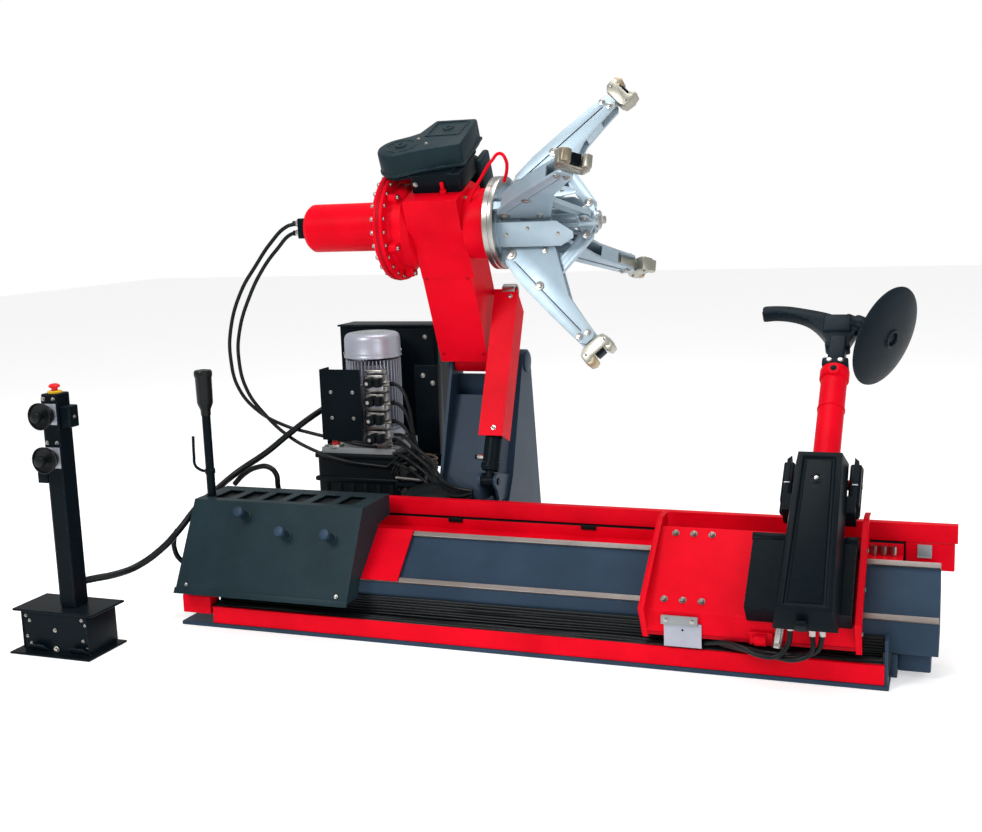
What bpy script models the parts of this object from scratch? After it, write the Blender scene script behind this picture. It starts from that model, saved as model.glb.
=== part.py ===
"""Truck tyre changer: a slanted bed with a sliding tool carriage, a swinging chuck arm, a hydraulic unit
and a free-standing control stand. Metres, +Z up, +X along the bed towards the tool carriage, -Y towards
the operator. The origin is on the floor, under the middle of the bed."""

import math

import bmesh
import bpy
from mathutils import Matrix, Vector

# ---------------------------------------------------------------- driving dimensions
GAP = 0.0003  # between touching pieces
SEGMENTS = 32
FRONT_Y = -0.38  # the front rail's face; depths below are measured back from it
BED_LEAN = math.radians(48)  # the guide face, from the vertical
BED_LOWER = (0.066, 0.160)  # depth and height of the guide face's lower edge
BED_WIDTH = 0.178  # up the slope
BED_LEFT, BED_RIGHT = -0.99, 1.098
RAIL_HALF = 0.98
RAIL_TOP = 0.064
RAIL_SHEET = 0.004
BASE_THICK = 0.012
BACK_RAIL_HALF = 1.137
BACK_RAIL_DEPTH, BACK_RAIL_TOP = 0.320, 0.352

TRAY_LEFT, TRAY_RIGHT = -1.075, -0.500
TRAY_SHEET = 0.004

ARM_LEAN = math.radians(24)  # the chuck arm at rest leans towards the operator
ARM_PIVOT = (0.665, 0.735)  # depth and height
ARM_LENGTH = 0.488  # pivot to chuck axis
ARM_LEFT, ARM_RIGHT = -0.434, -0.271
HEAD_TOP = 0.611  # the gearbox top, along the arm
COVER_LEFT = (-0.452, 0.015)  # the worm shaft: x and the distance behind the arm's pivot plane
COVER_RIGHT = (-0.335, 0.150)  # the motor shaft, in the same way
COVER_LOW, COVER_HIGH = 0.671, 0.741  # the belt cover, along the arm
PEDESTAL_LEFT, PEDESTAL_RIGHT = -0.424, -0.176
PIN_RADIUS = 0.024

CHUCK_TURN = math.radians(66.2)  # the first clamp arm, from +Y towards +Z
CLAMP_PIVOT = (-0.122, 0.112)  # along and away from the chuck axis
CLAMP_ANGLE = math.radians(45.2)  # the clamp arms, opened from the chuck axis
CLAMP_LINK = 0.140  # from the clamp arm's pivot to the link's pin
CLAMP_PLATES = (-0.020, 0.020)  # the middles of a clamp arm's two plates, sideways
LINK_FOOT = (0.100, 0.050)  # the link's pin on the crosshead

LIFT_FOOT = (0.392, 0.400)
LIFT_TOP = (0.642, 0.960)
LIFT_X = -0.216

TOOL_X = 0.795
TOOL_PIVOT = (0.345, 0.100)  # up the slope and out from the guide face
TOOL_LENGTH = 0.395  # from the tilt pin to the collar's top
DISC_RADIUS = 0.150
DISC_REACH = 0.125  # from the tool head to the disc, along its leaning axis
DISC_LEAN = math.radians(32)
DISC_TOE = math.radians(6)  # towards the operator

TANK_TOP, LID_TOP = 0.430, 0.450
MOTOR_AXIS = (-0.755, FRONT_Y + 0.735)  # x and y of the upright pump motor

STAND_X = -1.267
STAND_FRONT, STAND_BACK = -0.300, -0.240
STAND_TOP = 0.757
JOYSTICK_HEIGHTS = (0.700, 0.575)

# ---------------------------------------------------------------- frames
X, Y, Z = Vector((1, 0, 0)), Vector((0, 1, 0)), Vector((0, 0, 1))


def frame(origin, first, second):
    """A placing matrix whose first two axes are given; the third is their cross product."""
    third = first.cross(second)
    turned = Matrix((first, second, third)).transposed().to_4x4()
    return Matrix.Translation(origin) @ turned


WORLD = Matrix.Identity(4)
PROFILE = frame(Vector((0, FRONT_Y, 0)), Y, Z)  # (depth, height, x)
UPHILL = Vector((0, math.sin(BED_LEAN), math.cos(BED_LEAN)))
SLOPE = frame(Vector((0, FRONT_Y + BED_LOWER[0], BED_LOWER[1])), X, UPHILL)  # (x, up the slope, outwards)
ARM_UP = Vector((0, -math.sin(ARM_LEAN), math.cos(ARM_LEAN)))
PIVOT = Vector((0, FRONT_Y + ARM_PIVOT[0], ARM_PIVOT[1]))
ARM_SIDE = frame(PIVOT, ARM_UP, X.cross(ARM_UP))  # (along the arm, forwards, x)
ARM_TOP = frame(PIVOT, X, ARM_UP.cross(X))  # (x, backwards, along the arm)
CHUCK = PIVOT + ARM_LENGTH * ARM_UP
CHUCK_AXIS = frame(CHUCK, Y, Z)  # its third axis is x


def radial(index):
    """The frame of one of the four clamp arms: (along the chuck axis, away from it, sideways)."""
    turn = CHUCK_TURN + index * math.pi / 2
    return frame(CHUCK, X, Vector((0, math.cos(turn), math.sin(turn))))


# ---------------------------------------------------------------- scene and materials
for old in list(bpy.data.objects):
    bpy.data.objects.remove(old, do_unlink=True)
PARTS = bpy.data.collections.new("tyre_changer")
bpy.context.scene.collection.children.link(PARTS)


def material(name, colour, roughness, metallic=0.0):
    made = bpy.data.materials.new(name)
    made.use_nodes = True
    shader = made.node_tree.nodes["Principled BSDF"]
    shader.inputs["Base Color"].default_value = (*colour, 1)
    shader.inputs["Roughness"].default_value = roughness
    shader.inputs["Metallic"].default_value = metallic
    return made


RED = material("red_paint", (0.72, 0.010, 0.018), 0.35)
GREY = material("grey_paint", (0.075, 0.085, 0.100), 0.45)
BLACK = material("black_coat", (0.018, 0.020, 0.022), 0.50)
GREEN = material("dark_green_coat", (0.028, 0.042, 0.040), 0.50)
ZINC = material("zinc_plate", (0.55, 0.62, 0.68), 0.32, 0.9)
STEEL = material("bright_steel", (0.60, 0.60, 0.60), 0.25, 1.0)
SILVER = material("motor_silver", (0.50, 0.51, 0.52), 0.40, 0.6)
BRASS = material("jaw_bronze", (0.45, 0.36, 0.24), 0.40, 0.9)
PLASTIC = material("black_plastic", (0.015, 0.015, 0.016), 0.55)


# ---------------------------------------------------------------- shape helpers
def add(name, mesh, place, finish, smooth=False):
    """Links one piece of the object under its name."""
    made = bpy.data.objects.new(name, mesh)
    made.matrix_world = place
    PARTS.objects.link(made)
    mesh.materials.clear()
    mesh.materials.append(finish)
    if smooth:
        mesh.shade_smooth()
        mesh.set_sharp_from_angle(angle=math.radians(35))
    return made


def baked(made):
    """The object again, as one plain mesh with its curve or modifiers worked out and its seams welded."""
    bpy.context.view_layer.update()
    graph = bpy.context.evaluated_depsgraph_get()
    mesh = bpy.data.meshes.new_from_object(made.evaluated_get(graph), depsgraph=graph)
    work = bmesh.new()
    work.from_mesh(mesh)
    bmesh.ops.remove_doubles(work, verts=work.verts, dist=1e-6)
    work.to_mesh(mesh)
    work.free()
    name, place = made.name, made.matrix_world.copy()
    finish = made.data.materials[0]
    bpy.data.objects.remove(made, do_unlink=True)
    mesh.name = name
    return add(name, mesh, place, finish)


def box(name, place, low, high, finish, bevel=0.0):
    work = bmesh.new()
    bmesh.ops.create_cube(work, size=1)
    low, high = Vector(low), Vector(high)
    bmesh.ops.transform(work, verts=work.verts, matrix=Matrix.Diagonal((*(high - low), 1)))
    bmesh.ops.translate(work, verts=work.verts, vec=(low + high) / 2)
    mesh = bpy.data.meshes.new(name)
    work.to_mesh(mesh)
    work.free()
    made = add(name, mesh, place, finish)
    return rounded(made, bevel) if bevel else made


def rounded(made, width, segments=2):
    edges = made.modifiers.new("edges", "BEVEL")
    edges.width = width
    edges.segments = segments
    edges.limit_method = "ANGLE"
    edges.angle_limit = math.radians(40)
    return made


def rod(name, start, end, radius, finish, segments=SEGMENTS, top_radius=None):
    """A round bar between two points."""
    start, end = Vector(start), Vector(end)
    work = bmesh.new()
    bmesh.ops.create_cone(
        work,
        cap_ends=True,
        segments=segments,
        radius1=radius,
        radius2=radius if top_radius is None else top_radius,
        depth=(end - start).length,
    )
    mesh = bpy.data.meshes.new(name)
    work.to_mesh(mesh)
    work.free()
    turn = (end - start).to_track_quat("Z", "Y").to_matrix().to_4x4()
    return add(name, mesh, Matrix.Translation((start + end) / 2) @ turn, finish, smooth=True)


def prism(name, place, outline, low, high, finish, holes=()):
    """A flat outline in the place's first two axes, given thickness along its third."""
    curve = bpy.data.curves.new(name, "CURVE")
    curve.dimensions = "2D"
    curve.fill_mode = "BOTH"
    curve.extrude = (high - low) / 2
    for points in (outline, *holes):
        spline = curve.splines.new("POLY")
        spline.points.add(len(points) - 1)
        for point, (u, v) in zip(spline.points, points):
            point.co = (u, v, 0, 1)
        spline.use_cyclic_u = True
    curve.materials.append(finish)
    made = bpy.data.objects.new(name, curve)
    made.matrix_world = place @ Matrix.Translation((0, 0, (low + high) / 2))
    PARTS.objects.link(made)
    return baked(made)


def turned(name, place, profile, finish, steps=SEGMENTS):
    """A shape of revolution about the place's third axis, from (radius, height) points down its outside."""
    mesh = bpy.data.meshes.new(name)
    points = [(radius, 0, height) for radius, height in profile]
    mesh.from_pydata(points, [(i, i + 1) for i in range(len(points) - 1)], [])
    made = add(name, mesh, place, finish)
    screw = made.modifiers.new("turn", "SCREW")
    screw.steps = screw.render_steps = steps
    screw.use_merge_vertices = True
    screw.merge_threshold = 1e-6
    screw.use_smooth_shade = True
    return made


def combined(made, others, operation):
    for number, other in enumerate(others):
        boolean = made.modifiers.new(f"{operation.lower()}_{number}", "BOOLEAN")
        boolean.operation = operation
        boolean.solver = "EXACT"
        boolean.object = other
    made = baked(made)
    for other in others:
        bpy.data.objects.remove(other, do_unlink=True)
    return made


def joined(made, *others):
    return combined(made, others, "UNION")


def cut(made, *others):
    return combined(made, others, "DIFFERENCE")


def circle(centre, radius, count=16, start=0.0, sweep=2 * math.pi):
    """Points round a circle or an arc; a full turn leaves out the repeated last point."""
    full = abs(sweep) >= 2 * math.pi
    steps = count if full else count - 1
    angles = [start + sweep * i / steps for i in range(count)]
    return [(centre[0] + radius * math.cos(a), centre[1] + radius * math.sin(a)) for a in angles]


def capsule(start, end, radius, count=9):
    """The outline of a flat link with two round ends."""
    along = math.atan2(end[1] - start[1], end[0] - start[0])
    first = circle(end, radius, count, along - math.pi / 2, math.pi)
    second = circle(start, radius, count, along + math.pi / 2, math.pi)
    return first + second


def joint(name, point, *pieces):
    """An empty on the joint's axis that carries the moving pieces."""
    empty = bpy.data.objects.new(name, None)
    empty.location = point
    empty.empty_display_size = 0.05
    PARTS.objects.link(empty)
    for piece in pieces:
        piece.parent = empty
        piece.matrix_parent_inverse = Matrix.Translation(-Vector(point))
    return empty


# ---------------------------------------------------------------- base and bed
def base_frame():
    """Floor plate with a wide rear foot, four webs under the bed and an upright plate at the right end."""
    outline = [(-1.09, 0), (0.984, 0), (0.984, 0.42), (-0.02, 0.42), (-0.02, 1.02), (-1.09, 1.02)]
    floor = frame(Vector((0, FRONT_Y - 0.004, 0)), X, Y)
    plate = prism("base_frame", floor, outline, 0, BASE_THICK, GREY)
    web = [
        (0.085, 0.005), (0.395, 0.005), (0.395, 0.262), (0.275, 0.262), (0.275, 0.198),
        (0.247, 0.074), (0.085, 0.074),
    ]
    webs = [prism("web", PROFILE, web, x - 0.006, x + 0.006, GREY) for x in (-0.97, -0.33, 0.33, 0.92)]
    end = box("end", PROFILE, (0.002, 0.005, 0.9725), (0.060, 0.130, 0.9805), GREY)
    return joined(plate, *webs, end)


def front_rail():
    """Folded red channel along the front of the floor plate."""
    bottom = BASE_THICK + GAP
    outline = [
        (0, bottom), (0.028, bottom), (0.028, bottom + RAIL_SHEET), (0.005, bottom + RAIL_SHEET),
        (0.005, RAIL_TOP - RAIL_SHEET), (0.016, RAIL_TOP - RAIL_SHEET), (0.016, RAIL_TOP), (0, RAIL_TOP),
    ]
    return prism("front_rail", PROFILE, outline, -RAIL_HALF, 0.972, RED)


def bed_beam():
    """Hollow slanted box beam with its guide face up the slope."""
    outer = [BED_LOWER, (0.1983, 0.2791), (0.2672, 0.2025), (0.240, 0.075), (0.066, 0.075)]
    inner = [(0.074, 0.158), (0.1978, 0.2685), (0.2582, 0.2010), (0.2335, 0.083), (0.074, 0.083)]
    return prism("bed_beam", PROFILE, outer, BED_LEFT, BED_RIGHT, GREY, [inner])


def guide_rail(name, low):
    return box(name, SLOPE, (BED_LEFT, low, GAP), (BED_RIGHT, low + 0.016, 0.008), STEEL)


def back_rail():
    """Folded red cover of the rear rail."""
    d, top = BACK_RAIL_DEPTH, BACK_RAIL_TOP
    outline = [
        (d, top - 0.050), (d + RAIL_SHEET, top - 0.050), (d + RAIL_SHEET, top - RAIL_SHEET),
        (d + 0.026, top - RAIL_SHEET), (d + 0.026, top), (d, top),
    ]
    return prism("back_rail", PROFILE, outline, -BACK_RAIL_HALF, BACK_RAIL_HALF, RED)


def rear_guide_angle():
    """Red shelf between the bed's upper edge and the rear rail."""
    outline = [
        (0.238, 0.2625), (0.316, 0.2625), (0.316, 0.299), (0.312, 0.299), (0.312, 0.2665), (0.238, 0.2665),
    ]
    return prism("rear_guide_angle", PROFILE, outline, -1.06, 1.00, RED)


def bed_stop_plate():
    return box("bed_stop_plate", SLOPE, (-0.52, 0.000, 0.0085), (-0.385, 0.178, 0.0150), RED)


def left_end_block():
    return box("left_end_block", PROFILE, (0.006, 0.036, -1.090), (0.060, 0.092, -0.992), RED, 0.003)


def rear_end_block():
    return box("rear_end_block", PROFILE, (0.322, 0.225, 1.004), (0.372, 0.300, 1.130), RED, 0.003)


def tool_tray():
    """Folded sheet tray over the left of the bed, open behind, with slots and three rest pegs."""
    sheet = TRAY_SHEET
    outer = [
        (-0.050, 0.122), (0.090, 0.374), (0.275, 0.374), (0.275, 0.310), (0.196, 0.300), (0.047, 0.166),
        (0.030, 0.122),
    ]
    top = 0.374 - sheet
    inner = [(-0.030, 0.110), (0.0945, top), (0.300, top), (0.300, 0.290), (0.02, 0.110)]
    body = prism("tool_tray", PROFILE, outer, TRAY_LEFT, TRAY_RIGHT, GREEN)
    hollow = prism("hollow", PROFILE, inner, TRAY_LEFT + sheet, TRAY_RIGHT - sheet, GREEN)
    slots = [
        box("slot", WORLD, (x - 0.028, FRONT_Y + 0.120, 0.360), (x + 0.028, FRONT_Y + 0.225, 0.380), GREEN)
        for x in [TRAY_LEFT + 0.075 + 0.085 * i for i in range(6)]
    ]
    lever_hole = (TRAY_LEFT + 0.015, FRONT_Y + 0.125, 0.360), (TRAY_LEFT + 0.0445, FRONT_Y + 0.155, 0.380)
    slots.append(box("slot", WORLD, *lever_hole, GREEN))
    body = cut(body, hollow, *slots)
    outwards = Vector((0, -math.cos(math.radians(29)), math.sin(math.radians(29))))
    pegs = []
    for x, height in ((-0.885, 0.336), (-0.735, 0.290), (-0.585, 0.290)):
        depth = -0.050 + (height - 0.122) * 0.140 / 0.252
        foot = Vector((x, FRONT_Y + depth, height)) - 0.002 * outwards
        pegs.append(rod("peg", foot, foot + 0.048 * outwards, 0.013, GREEN, 16))
    return joined(body, *pegs)


def tyre_lever():
    """Lever that stands in the tray's own hole for it."""
    foot = Vector((TRAY_LEFT + 0.0297, FRONT_Y + 0.140, 0.300))
    neck = Vector((TRAY_LEFT + 0.0297, FRONT_Y + 0.140, 0.650))
    along = (neck - foot).normalized()
    bar = rod("tyre_lever", foot, neck, 0.013, BLACK, 16)
    grip = rod("grip", neck - 0.010 * along, neck + 0.115 * along, 0.025, BLACK, 16)
    return joined(bar, grip)


# ---------------------------------------------------------------- pedestal and hydraulic unit
def pedestal():
    """Leaning channel with two side plates that hold the arm's pin, and a lug for the lift cylinder."""
    ear = circle(ARM_PIVOT, 0.040, 9, math.radians(-10), math.radians(170))
    side = [(0.800, 0.0125), *ear, (0.500, 0.398), (0.440, 0.300), (0.440, 0.0125)]
    hole = circle(ARM_PIVOT, PIN_RADIUS + 0.001, 24)
    left = prism("pedestal", PROFILE, side, PEDESTAL_LEFT, PEDESTAL_LEFT + 0.010, GREY, [hole])
    right = prism("right", PROFILE, side, PEDESTAL_RIGHT - 0.024, PEDESTAL_RIGHT, GREY, [hole])
    web = [
        (0.470, 0.0125), (0.470, 0.300), (0.530, 0.398), (0.640, 0.628), (0.652, 0.622), (0.542, 0.392),
        (0.482, 0.296), (0.482, 0.0125),
    ]
    inside = (PEDESTAL_LEFT + 0.005, PEDESTAL_RIGHT - 0.005)
    front = prism("front", PROFILE, web, *inside, GREY)
    back = [(0.764, 0.0125), (0.680, 0.690), (0.690, 0.691), (0.774, 0.0125)]
    rear = prism("rear", PROFILE, back, *inside, GREY)
    lug_tip = circle(LIFT_FOOT, 0.026, 7, math.radians(250), math.radians(-180))
    lug_outline = [(0.560, 0.335), (0.400, 0.335), *lug_tip, (0.560, 0.385)]
    lug_hole = circle(LIFT_FOOT, 0.0115, 16)
    lugs = [
        prism("lug", PROFILE, lug_outline, x - 0.004, x + 0.004, GREY, [lug_hole])
        for x in (LIFT_X - 0.026, LIFT_X + 0.026)
    ]
    return joined(left, right, front, rear, *lugs)


def arm_pivot_pin():
    x_ends = (PEDESTAL_LEFT - 0.006, PEDESTAL_RIGHT + 0.004)
    return rod("arm_pivot_pin", PIVOT + x_ends[0] * X, PIVOT + x_ends[1] * X, PIN_RADIUS, STEEL, 24)


def oil_tank():
    """Moulded tank with a ridge round its waist."""
    tank = box("oil_tank", PROFILE, (0.565, BASE_THICK + GAP, -0.905), (0.840, TANK_TOP, -0.600), PLASTIC)
    ridge = box("ridge", PROFILE, (0.559, 0.335, -0.911), (0.846, 0.351, -0.594), PLASTIC)
    return joined(tank, ridge)


def tank_lid():
    lid = box("tank_lid", PROFILE, (0.572, TANK_TOP + GAP, -0.885), (0.830, LID_TOP, -0.612), SILVER)
    foot = Vector((*MOTOR_AXIS, LID_TOP - 0.007))
    adapter = rod("adapter", foot, foot + 0.027 * Z, 0.085, SILVER)
    return joined(lid, adapter)


def pump_motor():
    foot = Vector((*MOTOR_AXIS, LID_TOP + 0.020 + GAP))
    body = rod("pump_motor", foot, foot + 0.245 * Z, 0.100, SILVER)
    flange = rod("flange", foot, foot + 0.020 * Z, 0.112, SILVER)
    return joined(body, flange)


def motor_fan_cover():
    """Domed cap over the motor's fan, open below."""
    place = Matrix.Translation((*MOTOR_AXIS, 0.740))
    profile = [
        (0, 0.082), (0.060, 0.080), (0.090, 0.070), (0.106, 0.050), (0.108, 0), (0.1035, 0),
        (0.1035, 0.046), (0.088, 0.064), (0.060, 0.074), (0, 0.076),
    ]
    return turned("motor_fan_cover", place, profile, SILVER)


def valve_block():
    """Row of stacked valves in front of the motor."""
    block = box("valve_block", PROFILE, (0.585, LID_TOP + GAP, -0.715), (0.615, 0.700, -0.655), STEEL)
    coils = [
        rod("coil", (-0.685, FRONT_Y + 0.600, z), (-0.685, FRONT_Y + 0.545, z), 0.018, PLASTIC, 12)
        for z in (0.500, 0.560, 0.620, 0.680)
    ]
    return joined(block, *coils)


def valve_panel():
    """Black panel with a folded edge in front of the valves."""
    panel = box("valve_panel", PROFILE, (0.560, 0.477, -0.868), (0.564, 0.716, -0.722), BLACK)
    fold = box("fold", PROFILE, (0.560, 0.477, -0.872), (0.622, 0.716, -0.866), BLACK)
    leg = box("leg", PROFILE, (0.590, LID_TOP + GAP, -0.872), (0.622, 0.480, -0.866), BLACK)
    return joined(panel, fold, leg)


def electrical_cabinet():
    """Cabinet on its own stand behind the motor."""
    body = box("electrical_cabinet", PROFILE, (0.880, 0.330, -0.950), (1.000, 0.832, -0.575), BLACK)
    leg = box("leg", PROFILE, (0.920, BASE_THICK + GAP, -0.800), (0.990, 0.340, -0.690), BLACK)
    return joined(body, leg)


# ---------------------------------------------------------------- control stand
def stand_base():
    """Sheet box that stands on the floor, with a flange round its foot."""
    body = box("stand_base", WORLD, (-1.405, FRONT_Y - 0.335, 0), (-1.180, FRONT_Y - 0.205, 0.130), BLACK)
    foot = box("foot", WORLD, (-1.440, FRONT_Y - 0.360, 0), (-1.160, FRONT_Y - 0.185, 0.006), BLACK)
    lid = box("lid", WORLD, (-1.430, FRONT_Y - 0.345, 0.126), (-1.150, FRONT_Y - 0.195, 0.133), BLACK)
    return joined(body, foot, lid)


def stand_column():
    low = (STAND_X - 0.026, FRONT_Y + STAND_FRONT, 0.133 + GAP)
    return box("stand_column", WORLD, low, (STAND_X + 0.026, FRONT_Y + STAND_BACK, STAND_TOP), BLACK, 0.003)


def stand_switch_box():
    left = STAND_X + 0.026 + GAP
    low = (left, FRONT_Y + STAND_FRONT + 0.010, 0.660)
    high = (left + 0.032, FRONT_Y + STAND_BACK - 0.008, 0.722)
    return box("stand_switch_box", WORLD, low, high, BLACK, 0.003)


def joystick(name, height):
    """Lever with a bell-shaped gaiter, pointing at the operator."""
    foot = Vector((STAND_X, FRONT_Y + STAND_FRONT - 0.004, height))
    place = frame(foot, X, Z)
    profile = [
        (0, 0.064), (0.009, 0.062), (0.0135, 0.056), (0.0135, 0.047), (0.007, 0.041), (0.007, 0.036),
        (0.026, 0.032), (0.037, 0.020), (0.036, 0.010), (0.020, 0.004), (0, 0.004),
    ]
    handle = turned(name, place, profile, PLASTIC, 24)
    joint(name + "_pivot", foot, handle)


def emergency_button():
    foot = Vector((STAND_X, FRONT_Y + (STAND_FRONT + STAND_BACK) / 2, STAND_TOP + 0.0065))
    profile = [(0, 0.026), (0.012, 0.025), (0.019, 0.020), (0.020, 0.013), (0.010, 0.009), (0.010, 0), (0, 0)]
    button = turned("emergency_button", Matrix.Translation(foot), profile, RED, 24)
    joint("emergency_press", foot, button)


# ---------------------------------------------------------------- chuck arm
def arm_housing():
    """Square column with a chamfered gearbox on top, a pivot tube below and a lug pin for the lift."""
    column = box("arm_housing", ARM_SIDE, (0.045, -0.078, ARM_LEFT), (0.380, 0.078, ARM_RIGHT), RED)
    head = [
        (0.345, -0.085), (0.345, 0.080), (0.480, 0.086), (0.526, 0.108), (HEAD_TOP, 0.100),
        (HEAD_TOP, -0.040), (0.570, -0.100), (0.410, -0.110),
    ]
    gearbox = prism("gearbox", ARM_SIDE, head, ARM_LEFT, ARM_RIGHT + 0.009, RED)
    tube = rod("tube", PIVOT - 0.412 * X, PIVOT - 0.300 * X, 0.034, RED)
    neck = box("neck", ARM_SIDE, (0, -0.030, -0.412), (0.060, 0.030, -0.300), RED)
    bore_ends = (PIVOT + (ARM_LEFT - 0.01) * X, PIVOT + PEDESTAL_RIGHT * X)
    bore = rod("bore", *bore_ends, PIN_RADIUS + 0.001, RED, 24)
    spindle = rod("spindle", CHUCK + (ARM_RIGHT - 0.120) * X, CHUCK + (ARM_RIGHT + 0.03) * X, 0.048, RED)
    pin_ends = (lift_point(LIFT_TOP, ARM_RIGHT - 0.02), lift_point(LIFT_TOP, LIFT_X + 0.024))
    lift_pin = rod("lift_pin", *pin_ends, 0.010, RED, 16)
    solid = joined(column, gearbox, neck, tube, lift_pin)
    return cut(solid, bore, spindle)


def lift_point(point, x):
    return Vector((x, FRONT_Y + point[0], point[1]))


def gear_case():
    """Round worm-gear case: two flanged halves bolted at the rim."""
    profile = [
        (0, -0.4345), (0.112, -0.4345), (0.122, -0.445), (0.122, -0.490), (0.166, -0.494), (0.166, -0.524),
        (0.152, -0.530), (0.140, -0.540), (0.085, -0.546), (0, -0.546),
    ]
    return turned("gear_case", CHUCK_AXIS, profile, RED, 40)


def chuck_cylinder():
    """Closed red housing of the clamping cylinder."""
    profile = [
        (0, -0.5465), (0.082, -0.5465), (0.082, -0.559), (0.075, -0.561), (0.075, -0.800), (0.066, -0.812),
        (0.030, -0.812), (0.030, -0.826), (0, -0.826),
    ]
    return turned("chuck_cylinder", CHUCK_AXIS, profile, RED, 40)


def bearing_ring():
    profile = [
        (0.050, -0.190), (0.088, -0.190), (0.105, -0.200), (0.105, -0.2615), (0.050, -0.2615),
        (0.050, -0.190),
    ]
    return turned("bearing_ring", CHUCK_AXIS, profile, RED, 40)


def cover_outline(inset):
    """One round end at the left, one square end at the right and behind."""
    left = circle(COVER_LEFT, 0.074 - inset, 11, math.radians(130), math.radians(140))
    square = [(-0.340, -0.010 + inset), (-0.262 - inset, 0.012 + inset), (-0.274 - inset, 0.216 - inset),
              (-0.412 + inset, 0.218 - inset), (-0.432 + inset, 0.120)]
    return left + square


def belt_cover():
    """Deep cover over the belt drive, open below."""
    shell = prism("belt_cover", ARM_TOP, cover_outline(0), COVER_LOW, COVER_HIGH, GREEN)
    hollow = prism("hollow", ARM_TOP, cover_outline(0.004), COVER_LOW - 0.01, COVER_HIGH - 0.004, GREEN)
    return cut(shell, hollow)


def belt_bracket():
    """Plate on the gearbox that carries the motor and the belt cover."""
    plate = prism("belt_bracket", ARM_TOP, cover_outline(0.006), COVER_LOW - 0.012, COVER_LOW - 0.004, BLACK,
                  [circle(COVER_LEFT, 0.020, 16), circle(COVER_RIGHT, 0.020, 16)])
    posts = [
        box("post", ARM_TOP, (x, b, HEAD_TOP + GAP), (x + 0.040, b + 0.030, COVER_LOW - 0.006), BLACK)
        for x, b in ((-0.420, -0.035), (-0.330, -0.005))
    ]
    return joined(plate, *posts)


def drive_motor():
    """Motor that hangs under the square end of the belt cover."""
    top = ARM_TOP @ Vector((*COVER_RIGHT, COVER_LOW - 0.0125))
    upper = rod("drive_motor", top - 0.045 * ARM_UP, top, 0.050, BLACK)
    lower_start = ARM_TOP @ Vector((COVER_RIGHT[0], COVER_RIGHT[1] + 0.024, COVER_LOW - 0.050))
    return joined(upper, rod("lower", lower_start - 0.190 * ARM_UP, lower_start, 0.056, BLACK))


def pulley(name, centre, radius):
    """Belt pulley with its shaft, inside the cover."""
    place = ARM_TOP @ Matrix.Translation((*centre, COVER_LOW))
    profile = [
        (0, 0.060), (radius, 0.060), (radius, 0.054), (radius - 0.006, 0.050), (radius - 0.006, 0.030),
        (radius, 0.026), (radius, 0.020), (0.012, 0.020), (0.012, -0.011), (0, -0.011),
    ]
    wheel = turned(name, place, profile, STEEL, 24)
    joint(name + "_axis", place.translation, wheel)


# ---------------------------------------------------------------- chuck
def chuck_body():
    """Zinc-plated chuck flange on its spindle, with four lugs for the clamp arms."""
    profile = [
        (0.0225, -0.100), (0.048, -0.100), (0.060, -0.125), (0.060, -0.155), (0.1365, -0.155),
        (0.1365, -0.1865), (0.046, -0.1865), (0.046, -0.370), (0.0225, -0.370), (0.0225, -0.100),
    ]
    body = baked(turned("chuck_body", CHUCK_AXIS, profile, ZINC, 40))
    x, r = CLAMP_PIVOT
    tip = circle(CLAMP_PIVOT, 0.020, 7, math.radians(-70), math.radians(150))
    lug = [(x - 0.038, r - 0.030), (x, r - 0.022), *tip, (x - 0.038, r + 0.020)]
    hole = circle(CLAMP_PIVOT, 0.0105, 16)
    lugs = [prism("lug", radial(i), lug, -0.0115, 0.0115, ZINC, [hole]) for i in range(4)]
    return joined(body, *lugs)


def crosshead():
    """Piston rod with a four-forked head that drives the links."""
    hub = rod("crosshead", CHUCK - 0.340 * X, CHUCK + 0.135 * X, 0.0215, ZINC, 24)
    head = rod("head", CHUCK + 0.070 * X, CHUCK + 0.128 * X, 0.028, ZINC, 24)
    x, r = LINK_FOOT
    tip = circle(LINK_FOOT, 0.015, 7, math.radians(-20), math.radians(220))
    cheek = [(x - 0.022, 0.020), (x + 0.022, 0.020), *tip]
    pieces = [head]
    for i in range(4):
        place = radial(i)
        pieces += [prism("cheek", place, cheek, t - 0.003, t + 0.003, ZINC) for t in (-0.0125, 0.0125)]
        ends = [place @ Vector((x, r, t)) for t in (-0.014, 0.014)]
        pieces.append(rod("pin", *ends, 0.0075, ZINC, 12))
    return joined(hub, *pieces)


def along_clamp(u, v):
    """A point beside the clamp arm, u along it from its pivot and v outwards, in the radial frame."""
    c, s = math.cos(CLAMP_ANGLE), math.sin(CLAMP_ANGLE)
    return (CLAMP_PIVOT[0] + u * c - v * s, CLAMP_PIVOT[1] + u * s + v * c)


def clamp_arm_mesh():
    """Two broad tapering plates on three cross pins."""
    outline = [
        (-0.022, -0.018), (0.004, -0.040), (0.045, -0.102), (0.080, -0.110), (0.150, -0.078), (0.225, -0.044),
        (0.300, -0.034), (0.362, -0.028), (0.374, -0.014), (0.374, 0.012), (0.362, 0.023), (0.210, 0.032),
        (0.090, 0.036), (0.010, 0.030), (-0.022, 0.012),
    ]
    outline = [along_clamp(u, v) for u, v in outline]
    place = radial(0)
    pieces = [prism("clamp_arm", place, outline, t - 0.004, t + 0.004, ZINC) for t in CLAMP_PLATES]
    for u, radius in ((0, 0.0095), (CLAMP_LINK, 0.0080), (0.312, 0.0070)):
        ends = [place @ Vector((*along_clamp(u, 0), t)) for t in (-0.026, 0.026)]
        pieces.append(rod("pin", *ends, radius, ZINC, 12))
    return joined(*pieces)


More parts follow.
